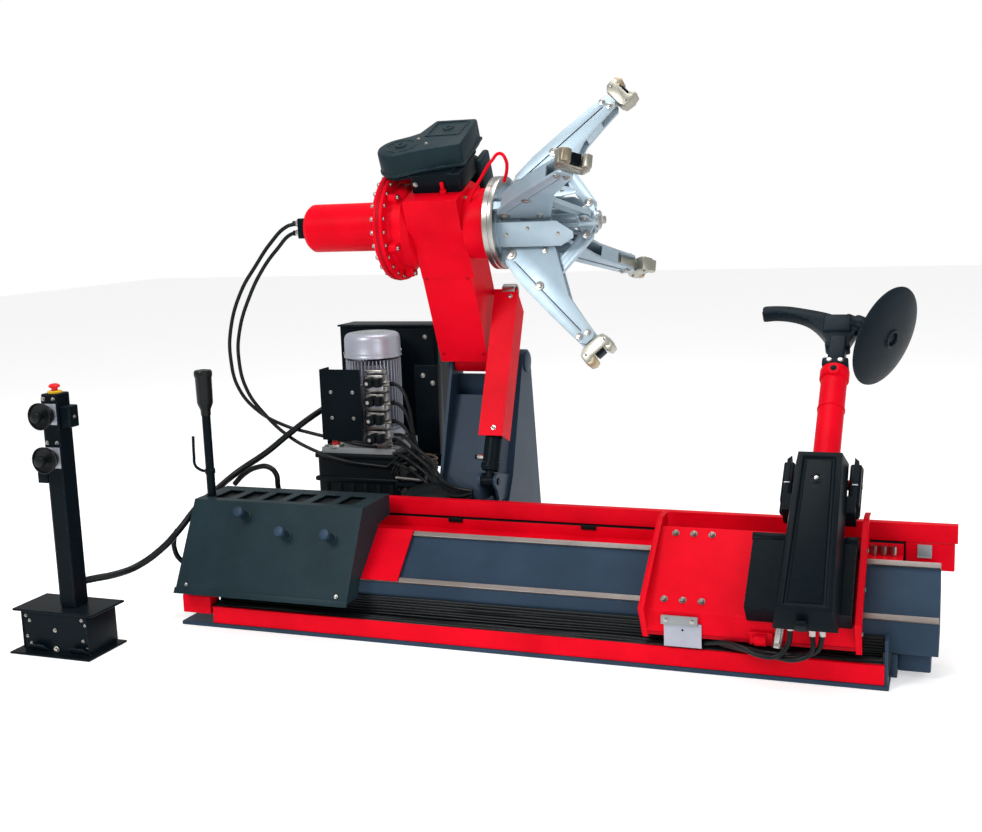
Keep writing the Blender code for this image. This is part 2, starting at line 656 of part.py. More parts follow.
def clamp_jaw_mesh():
    """Hooked jaw held between the arm's plates."""
    outline = [
        (0.324, -0.014), (0.378, -0.016), (0.384, -0.046), (0.418, -0.050), (0.437, -0.034), (0.437, -0.020),
        (0.415, -0.010), (0.415, 0.012), (0.437, 0.022), (0.434, 0.042), (0.420, 0.050), (0.390, 0.046),
        (0.378, 0.016), (0.324, 0.014),
    ]
    return prism("clamp_jaw", radial(0), [along_clamp(u, v) for u, v in outline], -0.0150, 0.0150, BRASS)


def clamp_link_mesh():
    """Flat link from the crosshead to a clamp arm. Its hole at the arm is wide."""
    far = along_clamp(CLAMP_LINK, 0)
    outline = capsule(LINK_FOOT, far, 0.019)
    holes = [circle(LINK_FOOT, 0.0085, 16), circle(far, 0.0130, 16)]
    return prism("clamp_link", radial(0), outline, -0.0070, 0.0070, ZINC, holes)


def four_copies(source, name, point):
    """The same piece at each of the four stations, each on its own joint."""
    rest = radial(0).inverted() @ source.matrix_world
    mesh, finish = source.data, source.data.materials[0]
    bpy.data.objects.remove(source, do_unlink=True)
    for i in range(4):
        copy = add(f"{name}_{i + 1}", mesh, radial(i) @ rest, finish)
        joint(f"{name}_{i + 1}_axis", radial(i) @ Vector((*point, 0)), copy)


# ---------------------------------------------------------------- lift cylinder
def lift_cylinder():
    """Barrel on the pedestal's lug, rod on the arm's pin, and the red guard that rides with the rod."""
    foot, top = lift_point(LIFT_FOOT, LIFT_X), lift_point(LIFT_TOP, LIFT_X)
    along = (top - foot).normalized()
    barrel = rod("lift_barrel", foot + 0.034 * along, foot + 0.400 * along, 0.027, BLACK, 24)
    neck = rod("neck", foot, foot + 0.050 * along, 0.014, BLACK, 16)
    eye = rod("eye", foot - 0.0210 * X, foot + 0.0210 * X, 0.018, BLACK, 16)
    trunnion = rod("trunnion", foot - 0.034 * X, foot + 0.034 * X, 0.0100, BLACK, 16)
    bore = rod("bore", foot + 0.100 * along, foot + 0.410 * along, 0.0165, BLACK, 16)
    barrel = cut(joined(barrel, neck, eye, trunnion), bore)
    piston = rod("lift_rod", foot + 0.330 * along, top, 0.0150, STEEL, 16)
    clevis = rod("clevis", top - 0.020 * X, top + 0.022 * X, 0.026, STEEL, 16)
    pin_hole = rod("pin_hole", top - 0.030 * X, top + 0.040 * X, 0.0185, STEEL, 16)
    piston = cut(joined(piston, clevis), pin_hole)
    forward = X.cross(along)
    place = frame(foot, along, forward)
    outline = [(0.135, 0.036), (0.600, 0.036), (0.600, 0.040), (0.135, 0.040)]
    front = prism("lift_guard", place, outline, -0.037, 0.041, RED)
    outline = [(0.135, -0.034), (0.560, -0.034), (0.600, 0.039), (0.135, 0.039)]
    side = prism("side", place, outline, 0.037, 0.041, RED)
    outline = [(0.540, 0.0155), (0.590, 0.0155), (0.590, 0.038), (0.540, 0.038)]
    tab = prism("tab", place, outline, -0.015, 0.015, RED)
    joint("lift_barrel_tilt", foot, barrel)
    joint("lift_rod_slide", top, piston, joined(front, side, tab))


# ---------------------------------------------------------------- tool carriage
def side_plate_outline(rise):
    """A plate that hooks over the guide face; rise lifts its upper corner."""
    notch = [(0.262, 0.302), (0.1995, 0.2956), (0.0494, 0.1605), (0.0494, 0.087)]
    corner = [(0.175, 0.350 + rise), (0.205, 0.366 + rise), (0.262, 0.366 + rise)]
    return [(0.004, 0.087), (-0.045, 0.180), *corner, *notch]


def carriage_saddle():
    """Bent saddle over the guide rails, with its two side plates."""
    outline = [
        (-0.006, 0.104), (-0.006, 0.166), (0.192, 0.343), (0.2143, 0.309), (0.0434, 0.1551), (0.0434, 0.104),
    ]
    body = prism("carriage_saddle", PROFILE, outline, 0.365, 0.908, RED)
    left = prism("left", PROFILE, side_plate_outline(0), 0.357, 0.369, RED)
    right = prism("right", PROFILE, side_plate_outline(0.026), 0.903, 0.915, RED)
    return joined(body, left, right)


def tower_base():
    """Black cover boxes to the left and right of the tower beam, on one sole plate."""
    outline = [
        (0.632, 0.0535), (0.896, 0.0535), (0.896, 0.120), (0.862, 0.120), (0.862, 0.058), (0.733, 0.058),
        (0.733, 0.120), (0.632, 0.120),
    ]
    place = frame(SLOPE.translation, X, X.cross(UPHILL))
    return prism("tower_base", place, outline, -0.165, 0.060, BLACK)


def tower_beam():
    """Sliding beam with the fork that holds the tool arm's tilt pin."""
    beam = box("tower_beam", SLOPE, (0.743, -0.070, 0.0600), (0.847, 0.280, 0.1415), BLACK)
    fork = [
        (0.698, 0.232), (0.886, 0.232), (0.886, 0.400), (0.874, 0.412), (0.874, 0.285), (0.710, 0.285),
        (0.710, 0.412), (0.698, 0.400),
    ]
    return joined(beam, prism("fork", SLOPE, fork, 0.0700, 0.1370, BLACK))


def tower_cover():
    """Long rounded cover over the beam."""
    return box("tower_cover", SLOPE, (0.722, -0.125, 0.1420), (0.861, 0.385, 0.2080), BLACK, 0.020)


def tool_point(s, n, x=TOOL_X):
    return SLOPE @ Vector((x, s, n))


def tool_arm():
    """Red tube on its tilt pin, with a collar at the top."""
    s, n = TOOL_PIVOT
    tube = rod("tool_arm", tool_point(s - 0.015, n), tool_point(s + TOOL_LENGTH, n), 0.0365, RED)
    top = s + TOOL_LENGTH
    collar = rod("collar", tool_point(top - 0.030, n), tool_point(top, n), 0.0400, RED)
    pin = rod("pin", tool_point(s, n, 0.7105), tool_point(s, n, 0.8735), 0.014, STEEL, 16)
    return joined(tube, collar, pin)


HEAD_FOOT = TOOL_PIVOT[0] + TOOL_LENGTH + 2 * GAP


def tool_head():
    """Turning head: a block on the arm's collar with a curved bead hook on one side and an angled stub for
    the disc on the other."""
    s, n = HEAD_FOOT, TOOL_PIVOT[1]
    outline = [
        (0.036, 0), (0.036, 0.130), (0.064, 0.150), (0.064, 0.190), (0.006, 0.192), (-0.003, 0.228),
        (-0.092, 0.232), (-0.158, 0.254), (-0.224, 0.247), (-0.227, 0.206), (-0.157, 0.208), (-0.096, 0.184),
        (-0.055, 0.134), (-0.036, 0.105), (-0.036, 0),
    ]
    place = SLOPE @ Matrix.Translation((TOOL_X, s, n))
    body = prism("tool_head", place, outline, -0.026, 0.026, BLACK)
    level = math.cos(DISC_LEAN)
    axis = Vector((level * math.cos(DISC_TOE), -math.sin(DISC_LEAN), level * math.sin(DISC_TOE)))
    stub_start = place @ Vector((0.025, 0.192, 0))
    turn = place.to_3x3()
    stub = rod("stub", stub_start, stub_start + turn @ axis * DISC_REACH, 0.024, BLACK, 24)
    return joined(body, stub), stub_start, turn @ axis


def bead_disc(centre, axis):
    """Dished bead-breaking disc on its hub."""
    across = axis.cross(UPHILL).normalized()
    place = frame(centre, across, axis.cross(across))
    radius = DISC_RADIUS
    profile = [
        (0, 0.032), (0.026, 0.032), (0.030, 0.022), (0.060, 0.020), (0.105, 0.013), (radius, 0.003),
        (radius, -0.002), (0.105, 0.005), (0.060, 0.012), (0.028, 0.014), (0.024, 0.0), (0, 0.0),
    ]
    return turned("bead_disc", place, profile, BLACK, 48)


# ---------------------------------------------------------------- assembly
base_frame()
front_rail()
left_end_block()
bed_beam()
guide_rail("lower_guide_rail", 0.0)
guide_rail("upper_guide_rail", BED_WIDTH - 0.016)
bed_stop_plate()
back_rail()
rear_end_block()
rear_guide_angle()
tool_tray()
tyre_lever()
pedestal()
arm_pivot_pin()
oil_tank()
tank_lid()
pump_motor()
motor_fan_cover()
valve_block()
valve_panel()
electrical_cabinet()

stand_base()
stand_column()
stand_switch_box()
joystick("joystick_upper", JOYSTICK_HEIGHTS[0])
joystick("joystick_lower", JOYSTICK_HEIGHTS[1])
emergency_button()

joint(
    "arm_lift", PIVOT, arm_housing(), gear_case(), chuck_cylinder(), bearing_ring(), belt_cover(),
    belt_bracket(), drive_motor(),
)
pulley("worm_pulley", COVER_LEFT, 0.055)
pulley("motor_pulley", COVER_RIGHT, 0.040)
joint("chuck_spin", CHUCK, chuck_body())
joint("crosshead_slide", CHUCK, crosshead())
four_copies(clamp_arm_mesh(), "clamp_arm", CLAMP_PIVOT)
four_copies(clamp_jaw_mesh(), "clamp_jaw", CLAMP_PIVOT)
four_copies(clamp_link_mesh(), "clamp_link", LINK_FOOT)
lift_cylinder()

joint("carriage_slide", tool_point(0, 0), carriage_saddle(), tower_base())
joint("tower_slide", tool_point(0, TOOL_PIVOT[1]), tower_beam(), tower_cover())
joint("tool_arm_tilt", tool_point(*TOOL_PIVOT), tool_arm())
head, stub_start, disc_axis = tool_head()
joint("tool_head_turn", tool_point(HEAD_FOOT, TOOL_PIVOT[1]), head)
disc = bead_disc(stub_start + (DISC_REACH + 2 * GAP) * disc_axis, disc_axis)
joint("disc_spin", disc.matrix_world.translation, disc)
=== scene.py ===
"""Looks of the truck tyre changer: finishes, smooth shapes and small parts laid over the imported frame."""

import math
import random

import bmesh
import bpy
from mathutils import Matrix, Vector


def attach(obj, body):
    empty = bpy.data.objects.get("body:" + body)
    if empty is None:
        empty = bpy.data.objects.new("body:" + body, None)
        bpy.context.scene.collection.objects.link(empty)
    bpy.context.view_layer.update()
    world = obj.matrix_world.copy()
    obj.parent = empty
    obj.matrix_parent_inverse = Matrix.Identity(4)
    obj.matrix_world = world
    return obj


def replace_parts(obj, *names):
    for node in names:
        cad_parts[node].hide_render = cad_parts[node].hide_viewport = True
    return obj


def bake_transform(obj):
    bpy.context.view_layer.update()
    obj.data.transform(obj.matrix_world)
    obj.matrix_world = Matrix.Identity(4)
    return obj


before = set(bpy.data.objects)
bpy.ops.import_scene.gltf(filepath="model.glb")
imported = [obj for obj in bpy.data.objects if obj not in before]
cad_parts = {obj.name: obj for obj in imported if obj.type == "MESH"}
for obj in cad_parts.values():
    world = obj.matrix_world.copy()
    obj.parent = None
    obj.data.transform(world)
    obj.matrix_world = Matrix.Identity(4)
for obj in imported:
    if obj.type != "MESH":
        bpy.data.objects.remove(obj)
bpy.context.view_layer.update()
random.seed(7)

# ---------------------------------------------------------------- frames shared with the design
X, Y, Z = Vector((1, 0, 0)), Vector((0, 1, 0)), Vector((0, 0, 1))
FRONT_Y = -0.38
BED_LEAN = math.radians(48)
ARM_LEAN = math.radians(24)
TOOL_X = 0.795
STAND_X = -1.267
CLAMP_ANGLE = math.radians(45.2)
CLAMP_PIVOT = (-0.122, 0.112)
CLAMP_LINK = 0.140
LINK_FOOT = (0.100, 0.050)
CHUCK_TURN = math.radians(66.2)
MOTOR_AXIS = (-0.755, 0.355)
MOTOR_SLIM = 0.91


def placed(origin, first, second):
    """A placing matrix whose first two axes are given; the third is their cross product."""
    third = first.cross(second)
    return Matrix.Translation(origin) @ Matrix((first, second, third)).transposed().to_4x4()


WORLD = Matrix.Identity(4)
PROFILE = placed(Vector((0, FRONT_Y, 0)), Y, Z)  # (depth, height, x)
UPHILL = Vector((0, math.sin(BED_LEAN), math.cos(BED_LEAN)))
SLOPE = placed(Vector((0, FRONT_Y + 0.066, 0.160)), X, UPHILL)  # (x, up the slope, outwards)
SIDE = placed(SLOPE.translation, UPHILL, X.cross(UPHILL))  # (up the slope, outwards, x)
ARM_UP = Vector((0, -math.sin(ARM_LEAN), math.cos(ARM_LEAN)))
PIVOT = Vector((0, 0.285, 0.735))
ARM_SIDE = placed(PIVOT, ARM_UP, X.cross(ARM_UP))  # (along the arm, forwards, x)
ARM_TOP = placed(PIVOT, X, ARM_UP.cross(X))  # (x, backwards, along the arm)
CHUCK = PIVOT + 0.488 * ARM_UP
CHUCK_AXIS = placed(CHUCK, Y, Z)  # its third axis is x


def radial(index):
    """The frame of one clamp arm: (along the chuck axis, away from it, sideways)."""
    turn = CHUCK_TURN + index * math.pi / 2
    return placed(CHUCK, X, Vector((0, math.cos(turn), math.sin(turn))))


def along(direction, origin=(0, 0, 0)):
    """A placing matrix whose third axis runs along a direction."""
    turn = Vector(direction).to_track_quat("Z", "Y").to_matrix().to_4x4()
    return Matrix.Translation(origin) @ turn


# ---------------------------------------------------------------- finishes
def finish(name, colour, other, roughness, metallic=0.0, coat=0.0, grain=300.0, bump=0.15, dust=0.12,
           edge_wear_and_highlight=None, edge_wear_and_highlight_strength=0.0, stretch=(1, 1, 1), shine=0.28):
    """A surface with blotchy colour, uneven gloss, fine relief, dust on top and lighter edges, partly wear and partly
    painted highlight.
    """
    made = bpy.data.materials.new(name)
    made.use_nodes = True
    nodes, links = made.node_tree.nodes, made.node_tree.links
    shader = nodes["Principled BSDF"]

    def new(kind, **inputs):
        node = nodes.new(kind)
        for key, value in inputs.items():
            node.inputs[key.replace("_", " ")].default_value = value
        return node

    def mixed(factor, first, second):
        node = nodes.new("ShaderNodeMix")
        node.data_type = "RGBA"
        links.new(factor, node.inputs[0])
        for socket, value in ((node.inputs[6], first), (node.inputs[7], second)):
            if isinstance(value, tuple):
                socket.default_value = (*value, 1)
            else:
                links.new(value, socket)
        return node.outputs[2]

    def ranged(value, low, high, out_low, out_high):
        node = new("ShaderNodeMapRange", From_Min=low, From_Max=high, To_Min=out_low, To_Max=out_high)
        links.new(value, node.inputs["Value"])
        return node.outputs[0]

    def times(first, second):
        node = nodes.new("ShaderNodeMath")
        node.operation = "MULTIPLY"
        links.new(first, node.inputs[0])
        links.new(second, node.inputs[1])
        return node.outputs[0]

    place = nodes.new("ShaderNodeTexCoord")
    scaled = new("ShaderNodeMapping", Scale=stretch)
    links.new(place.outputs["Object"], scaled.inputs["Vector"])
    broad = new("ShaderNodeTexNoise", Scale=5.0, Detail=4.0, Roughness=0.6)
    fine = new("ShaderNodeTexNoise", Scale=grain, Detail=3.0, Roughness=0.6)
    spots = new("ShaderNodeTexNoise", Scale=70.0, Detail=5.0, Roughness=0.7)
    for noise in (broad, spots):
        links.new(place.outputs["Object"], noise.inputs["Vector"])
    links.new(scaled.outputs[0], fine.inputs["Vector"])
    tone = mixed(ranged(broad.outputs[0], 0.35, 0.65, 0, 1), colour, other)
    gloss = ranged((broad if metallic > 0.4 else fine).outputs[0], 0.3, 0.7, roughness * 0.85, min(1, roughness * 1.2))
    surface = nodes.new("ShaderNodeNewGeometry")
    if dust:
        parts = nodes.new("ShaderNodeSeparateXYZ")
        links.new(surface.outputs["Normal"], parts.inputs[0])
        lying = ranged(parts.outputs[2], 0.5, 1.0, 0, dust)
        tone = mixed(times(lying, ranged(spots.outputs[0], 0.35, 0.65, 0.3, 1)), tone, (0.42, 0.40, 0.37))
    # Lighter colour on the rounded edges: partly paint worn through, partly a painted highlight where the edges catch
    # the light.
    if edge_wear_and_highlight:
        rounded = nodes.new("ShaderNodeBevel")
        rounded.samples = 2
        rounded.inputs["Radius"].default_value = 0.0013
        facing = nodes.new("ShaderNodeVectorMath")
        facing.operation = "DOT_PRODUCT"
        links.new(rounded.outputs[0], facing.inputs[0])
        links.new(surface.outputs["Normal"], facing.inputs[1])
        edges = ranged(facing.outputs["Value"], 0.97, 0.86, 0, edge_wear_and_highlight_strength)
        wear_and_highlight_mask = times(edges, ranged(spots.outputs[0], 0.42, 0.58, 0, 1))
        tone = mixed(wear_and_highlight_mask, tone, edge_wear_and_highlight)
    links.new(tone, shader.inputs["Base Color"])
    links.new(gloss, shader.inputs["Roughness"])
    relief = new("ShaderNodeBump", Strength=bump, Distance=0.0006)
    links.new(fine.outputs[0], relief.inputs["Height"])
    links.new(relief.outputs[0], shader.inputs["Normal"])
    shader.inputs["Metallic"].default_value = metallic
    shader.inputs["Specular IOR Level"].default_value = shine
    shader.inputs["Coat Weight"].default_value = coat
    shader.inputs["Coat Roughness"].default_value = 0.12
    return made


# Each edge colour below is lighter than its paint: the edges show partly wear and partly painted highlight.
RED = finish("red_enamel", (0.74, 0.002, 0.014), (0.60, 0.001, 0.010), 0.38, grain=420, bump=0.10, dust=0.0,
             edge_wear_and_highlight=(0.85, 0.10, 0.11), edge_wear_and_highlight_strength=0.4, shine=0.04)
DEEP_RED = finish("deep_red_enamel", (0.42, 0.002, 0.010), (0.34, 0.001, 0.008), 0.40, dust=0.0, shine=0.06)
GREY = finish("slate_enamel", (0.026, 0.050, 0.084), (0.019, 0.038, 0.064), 0.38, dust=0.0, bump=0.10,
              edge_wear_and_highlight=(0.20, 0.24, 0.28), edge_wear_and_highlight_strength=0.6, shine=0.10)
BLACK = finish("black_powder", (0.003, 0.0070, 0.010), (0.002, 0.0045, 0.007), 0.34, bump=0.30, dust=0.008,
               edge_wear_and_highlight=(0.10, 0.14, 0.17), edge_wear_and_highlight_strength=0.8, shine=0.05)
GREEN = finish("green_powder", (0.014, 0.030, 0.037), (0.010, 0.022, 0.028), 0.38, bump=0.35, dust=0.016,
               edge_wear_and_highlight=(0.11, 0.16, 0.18), edge_wear_and_highlight_strength=0.8, shine=0.06)
ZINC = finish("zinc_plate", (0.43, 0.53, 0.60), (0.33, 0.43, 0.50), 0.42, metallic=0.55, grain=60, bump=0.015,
              dust=0.0, edge_wear_and_highlight=(0.78, 0.82, 0.84), edge_wear_and_highlight_strength=0.5)
STEEL = finish("ground_steel", (0.46, 0.45, 0.43), (0.34, 0.33, 0.31), 0.30, metallic=1.0, grain=160, bump=0.05,
               dust=0.04, stretch=(1, 12, 12))
DULL = finish("dull_bolt", (0.24, 0.22, 0.20), (0.16, 0.15, 0.14), 0.42, metallic=0.85, grain=120, bump=0.05, dust=0.0)
RAIL = finish("worn_rail", (0.31, 0.275, 0.26), (0.21, 0.18, 0.165), 0.34, metallic=0.8, grain=110, dust=0.04,
              stretch=(1, 20, 20))
SILVER = finish("silver_paint", (0.41, 0.43, 0.50), (0.34, 0.36, 0.42), 0.38, metallic=0.45, bump=0.2, dust=0.05)
LID = finish("grey_lid", (0.30, 0.32, 0.33), (0.22, 0.24, 0.25), 0.45, metallic=0.2, bump=0.3)
BRASS = finish("jaw_bronze", (0.42, 0.33, 0.20), (0.28, 0.24, 0.18), 0.38, metallic=0.9, grain=120, bump=0.04,
               edge_wear_and_highlight=(0.75, 0.70, 0.60), edge_wear_and_highlight_strength=0.8, dust=0.0)
PLASTIC = finish("black_plastic", (0.004, 0.007, 0.009), (0.003, 0.005, 0.006), 0.40, bump=0.3, dust=0.012, shine=0.10)
RUBBER = finish("hose_rubber", (0.004, 0.006, 0.007), (0.008, 0.010, 0.011), 0.30, grain=500, bump=0.3, dust=0.012,
                shine=0.16)
CAST = finish("dark_cast", (0.003, 0.0085, 0.013), (0.008, 0.016, 0.022), 0.32, grain=70, bump=0.2, dust=0.008,
              edge_wear_and_highlight=(0.14, 0.18, 0.20), edge_wear_and_highlight_strength=0.8, shine=0.05)
YELLOW = finish("yellow_plastic", (0.78, 0.50, 0.02), (0.70, 0.44, 0.02), 0.40, dust=0.0)
BUTTON = finish("red_plastic", (0.72, 0.012, 0.016), (0.60, 0.010, 0.012), 0.30, dust=0.0)
KHAKI = finish("plated_steel", (0.42, 0.42, 0.36), (0.32, 0.31, 0.26), 0.34, metallic=0.85, grain=120, bump=0.03, dust=0.0,
               edge_wear_and_highlight=(0.70, 0.70, 0.64), edge_wear_and_highlight_strength=0.7)
COPPER = finish("coil_varnish", (0.20, 0.13, 0.09), (0.14, 0.09, 0.06), 0.5, bump=0.3)
FLOOR = finish("floor", (0.88, 0.88, 0.88), (0.86, 0.86, 0.86), 0.80, bump=0.02, dust=0.0)
FLOOR.node_tree.nodes["Principled BSDF"].inputs["Emission Color"].default_value = (1, 1, 1, 1)
FLOOR.node_tree.nodes["Principled BSDF"].inputs["Emission Strength"].default_value = 0.46


# ---------------------------------------------------------------- shapes
def softened(work, bevel, segments=2, angle=30):
    """Rounds the edges sharper than an angle."""
    edges = [e for e in work.edges if e.is_manifold and e.calc_face_angle(0) > math.radians(angle)]
    bmesh.ops.bevel(work, geom=edges, offset=bevel, segments=segments, profile=0.5, affect="EDGES", clamp_overlap=True)
    return work


def cuboid(low, high, bevel=0.0015, segments=2):
    work = bmesh.new()
    bmesh.ops.create_cube(work, size=1)
    low, high = Vector(low), Vector(high)
    bmesh.ops.transform(work, verts=work.verts, matrix=Matrix.Diagonal((*(high - low), 1)))
    bmesh.ops.translate(work, verts=work.verts, vec=(low + high) / 2)
    return softened(work, bevel, segments) if bevel else work


def cylinder(radius, length, segments=32, bevel=0.0, top=None):
    """Round bar along the third axis, from the origin."""
    work = bmesh.new()
    bmesh.ops.create_cone(work, cap_ends=True, segments=segments, radius1=radius,
                          radius2=radius if top is None else top, depth=length)
    bmesh.ops.translate(work, verts=work.verts, vec=(0, 0, length / 2))
    return softened(work, bevel, 2, 50) if bevel else work


def lathe(profile, steps=48):
    """A shape of revolution from (radius, height) points."""
    work = bmesh.new()
    verts = [work.verts.new((radius, 0, height)) for radius, height in profile]
    edges = [work.edges.new(pair) for pair in zip(verts, verts[1:])]
    bmesh.ops.spin(work, geom=verts + edges, cent=(0, 0, 0), axis=(0, 0, 1), angle=2 * math.pi, steps=steps,
                   use_merge=True)
    bmesh.ops.remove_doubles(work, verts=work.verts, dist=1e-6)
    bmesh.ops.recalc_face_normals(work, faces=work.faces)
    return work


def curve_mesh(curve):
    made = bpy.data.objects.new("shape", curve)
    bpy.context.scene.collection.objects.link(made)
    bpy.context.view_layer.update()
    graph = bpy.context.evaluated_depsgraph_get()
    mesh = bpy.data.meshes.new_from_object(made.evaluated_get(graph), depsgraph=graph)
    work = bmesh.new()
    work.from_mesh(mesh)
    bpy.data.objects.remove(made, do_unlink=True)
    bpy.data.meshes.remove(mesh)
    bmesh.ops.remove_doubles(work, verts=work.verts, dist=1e-6)
    return work


def slab(outline, low, high, holes=(), bevel=0.0012):
    """A flat outline with thickness along the third axis and rounded edges."""
    curve = bpy.data.curves.new("slab", "CURVE")
    curve.dimensions = "2D"
    curve.fill_mode = "BOTH"
    curve.extrude = (high - low) / 2
    for points in (outline, *holes):
        spline = curve.splines.new("POLY")
        spline.points.add(len(points) - 1)
        for point, (u, v) in zip(spline.points, points):
            point.co = (u, v, 0, 1)
        spline.use_cyclic_u = True
    work = curve_mesh(curve)
    bmesh.ops.dissolve_limit(work, angle_limit=0.001, verts=work.verts, edges=work.edges)
    bmesh.ops.translate(work, verts=work.verts, vec=(0, 0, (low + high) / 2))
    return softened(work, bevel, 2, 40) if bevel else work


def tube(points, radius, sides=3):
    """A bent hose or bar through the points."""
    curve = bpy.data.curves.new("tube", "CURVE")
    curve.dimensions = "3D"
    curve.bevel_depth = radius
    curve.bevel_resolution = sides
    curve.resolution_u = 7
    curve.use_fill_caps = True
    spline = curve.splines.new("BEZIER")
    spline.bezier_points.add(len(points) - 1)
    for point, at in zip(spline.bezier_points, points):
        point.co = at
        point.handle_left_type = point.handle_right_type = "AUTO"
    return curve_mesh(curve)


def circle(centre, radius, count=20, start=0.0, sweep=2 * math.pi):
    full = abs(sweep) >= 2 * math.pi
    steps = count if full else count - 1
    angles = [start + sweep * i / steps for i in range(count)]
    return [(centre[0] + radius * math.cos(a), centre[1] + radius * math.sin(a)) for a in angles]


def ring_of(centre, axis, radius, count, start=0.0):
    """Points evenly round a circle in space."""
    place = along(axis, centre)
    turns = [start + 2 * math.pi * i / count for i in range(count)]
    return [place @ Vector((radius * math.cos(a), radius * math.sin(a), 0)) for a in turns]


class Piece:
    """One visual piece: shapes in one mesh, each with its own finish."""

    def __init__(self, name):
        self.name = name
        self.work = bmesh.new()
        self.finishes = []

    def put(self, shape, surface, place=WORLD):
        if surface not in self.finishes:
            self.finishes.append(surface)
        bmesh.ops.transform(shape, verts=shape.verts, matrix=place)
        for face in shape.faces:
            face.material_index = self.finishes.index(surface)
        mesh = bpy.data.meshes.new("part")
        shape.to_mesh(mesh)
        shape.free()
        self.work.from_mesh(mesh)
        bpy.data.meshes.remove(mesh)
        return self

    def rod(self, start, end, radius, surface, segments=24, bevel=0.0, top=None):
        start, end = Vector(start), Vector(end)
        shape = cylinder(radius, (end - start).length, segments, bevel, top)
        return self.put(shape, surface, along(end - start, start))

    def bolt(self, point, axis, size, surface, socket=False):
        """A hexagon or socket head on its washer; size is the head's radius."""
        place = along(axis, point)
        self.put(cylinder(size * 1.35, size * 0.25, 20), surface, place)
        head = place @ Matrix.Translation((0, 0, size * 0.25))
        sides = 20 if socket else 6
        self.put(cylinder(size, size * 0.85, sides, size * 0.12), surface, head)
        if socket:
            inner = head @ Matrix.Translation((0, 0, size * 0.80))
            self.put(cylinder(size * 0.5, size * 0.08, 6), BLACK, inner)
        return self

    def made(self, angle=38):
        mesh = bpy.data.meshes.new(self.name)
        self.work.to_mesh(mesh)
        self.work.free()
        for surface in self.finishes:
            mesh.materials.append(surface)
        mesh.shade_smooth()
        mesh.set_sharp_from_angle(angle=math.radians(angle))
        made = bpy.data.objects.new(self.name, mesh)
        bpy.context.scene.collection.objects.link(made)
        return made

    def on(self, body, slot, *replaced):
        """Finishes the piece and lets it ride on a body, in place of any nodes named."""
        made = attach(self.made(), body)
        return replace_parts(made, *replaced) if replaced else made


# ---------------------------------------------------------------- finishes of the design's own nodes
def dress(surface, bevel, *names):
    """Gives nodes a finish and, when bevel isn't zero, rounded edges."""
    for name in names:
        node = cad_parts[name]
        node.data.materials.clear()
        node.data.materials.append(surface)
        if "custom_normal" in node.data.attributes:
            node.data.attributes.remove(node.data.attributes["custom_normal"])
        node.data.shade_smooth()
        weld = node.modifiers.new("weld", "WELD")
        weld.merge_threshold = 1e-5
        if bevel:
            edges = node.modifiers.new("edges", "BEVEL")
            edges.width = bevel
            edges.segments = 2
            edges.limit_method = "ANGLE"
            edges.angle_limit = math.radians(35)
            weights = node.modifiers.new("weights", "WEIGHTED_NORMAL")
            weights.keep_sharp = True
        else:
            split = node.modifiers.new("split", "EDGE_SPLIT")
            split.split_angle = math.radians(35)


dress(RED, 0.0015, "front_rail", "left_end_block", "bed_stop_plate", "back_rail", "rear_end_block")
dress(RED, 0.001, "rear_guide_angle")
dress(RED, 0.003, "arm_housing", "carriage_saddle")
dress(RED, 0.002, "gear_case", "chuck_cylinder", "bearing_ring", "lift_guard", "tool_arm")
dress(GREY, 0.002, "base_frame", "bed_beam", "pedestal")
dress(BLACK, 0.002, "valve_panel", "stand_base", "belt_bracket", "lift_barrel", "tower_base", "tower_beam")
dress(BLACK, 0.002, "electrical_cabinet", "stand_switch_box", "stand_column")
dress(ZINC, 0.001, "chuck_body", "crosshead")
dress(RAIL, 0.001, "lower_guide_rail", "upper_guide_rail")
dress(STEEL, 0.001, "arm_pivot_pin", "lift_rod", "worm_pulley", "motor_pulley")
dress(LID, 0.003, "tank_lid")
dress(ZINC, 0.0012, *[f"clamp_arm_{i}" for i in range(1, 5)], *[f"clamp_link_{i}" for i in range(1, 5)])
dress(GREEN, 0.0015, "tool_tray")
dress(GREEN, 0.004, "belt_cover")
dress(BRASS, 0.0015, *[f"clamp_jaw_{i}" for i in range(1, 5)])
dress(PLASTIC, 0.004, "oil_tank")
dress(SILVER, 0.002, "pump_motor", "motor_fan_cover")
dress(STEEL, 0.001, "valve_block")
dress(BLACK, 0.003, "drive_motor", "tower_cover", "tyre_lever")
dress(CAST, 0.004, "tool_head", "bead_disc")
dress(PLASTIC, 0.0, "joystick_upper", "joystick_lower")
dress(BUTTON, 0.0, "emergency_button")



# ---------------------------------------------------------------- bed, rails and tray
def smooth(points, steps=5):
    """A closed outline through the points, rounded between them."""
    count, found = len(points), []
    for i in range(count):
        a, b, c, d = (points[(i + k) % count] for k in (-1, 0, 1, 2))
        for step in range(steps):
            t = step / steps
            found.append(tuple(
                0.5 * (2 * b[k] + (c[k] - a[k]) * t + (2 * a[k] - 5 * b[k] + 4 * c[k] - d[k]) * t * t
                       + (3 * b[k] - a[k] - 3 * c[k] + d[k]) * t ** 3)
                for k in (0, 1)
            ))
    return found


def wavy(depth, height, left, right, count=12, sway=0.003):
    """Points of a hose that lies along the bed."""
    return [
        PROFILE @ Vector((depth + random.uniform(-sway, sway), height + random.uniform(-sway, sway),
                          left + (right - left) * i / (count - 1)))
        for i in range(count)
    ]


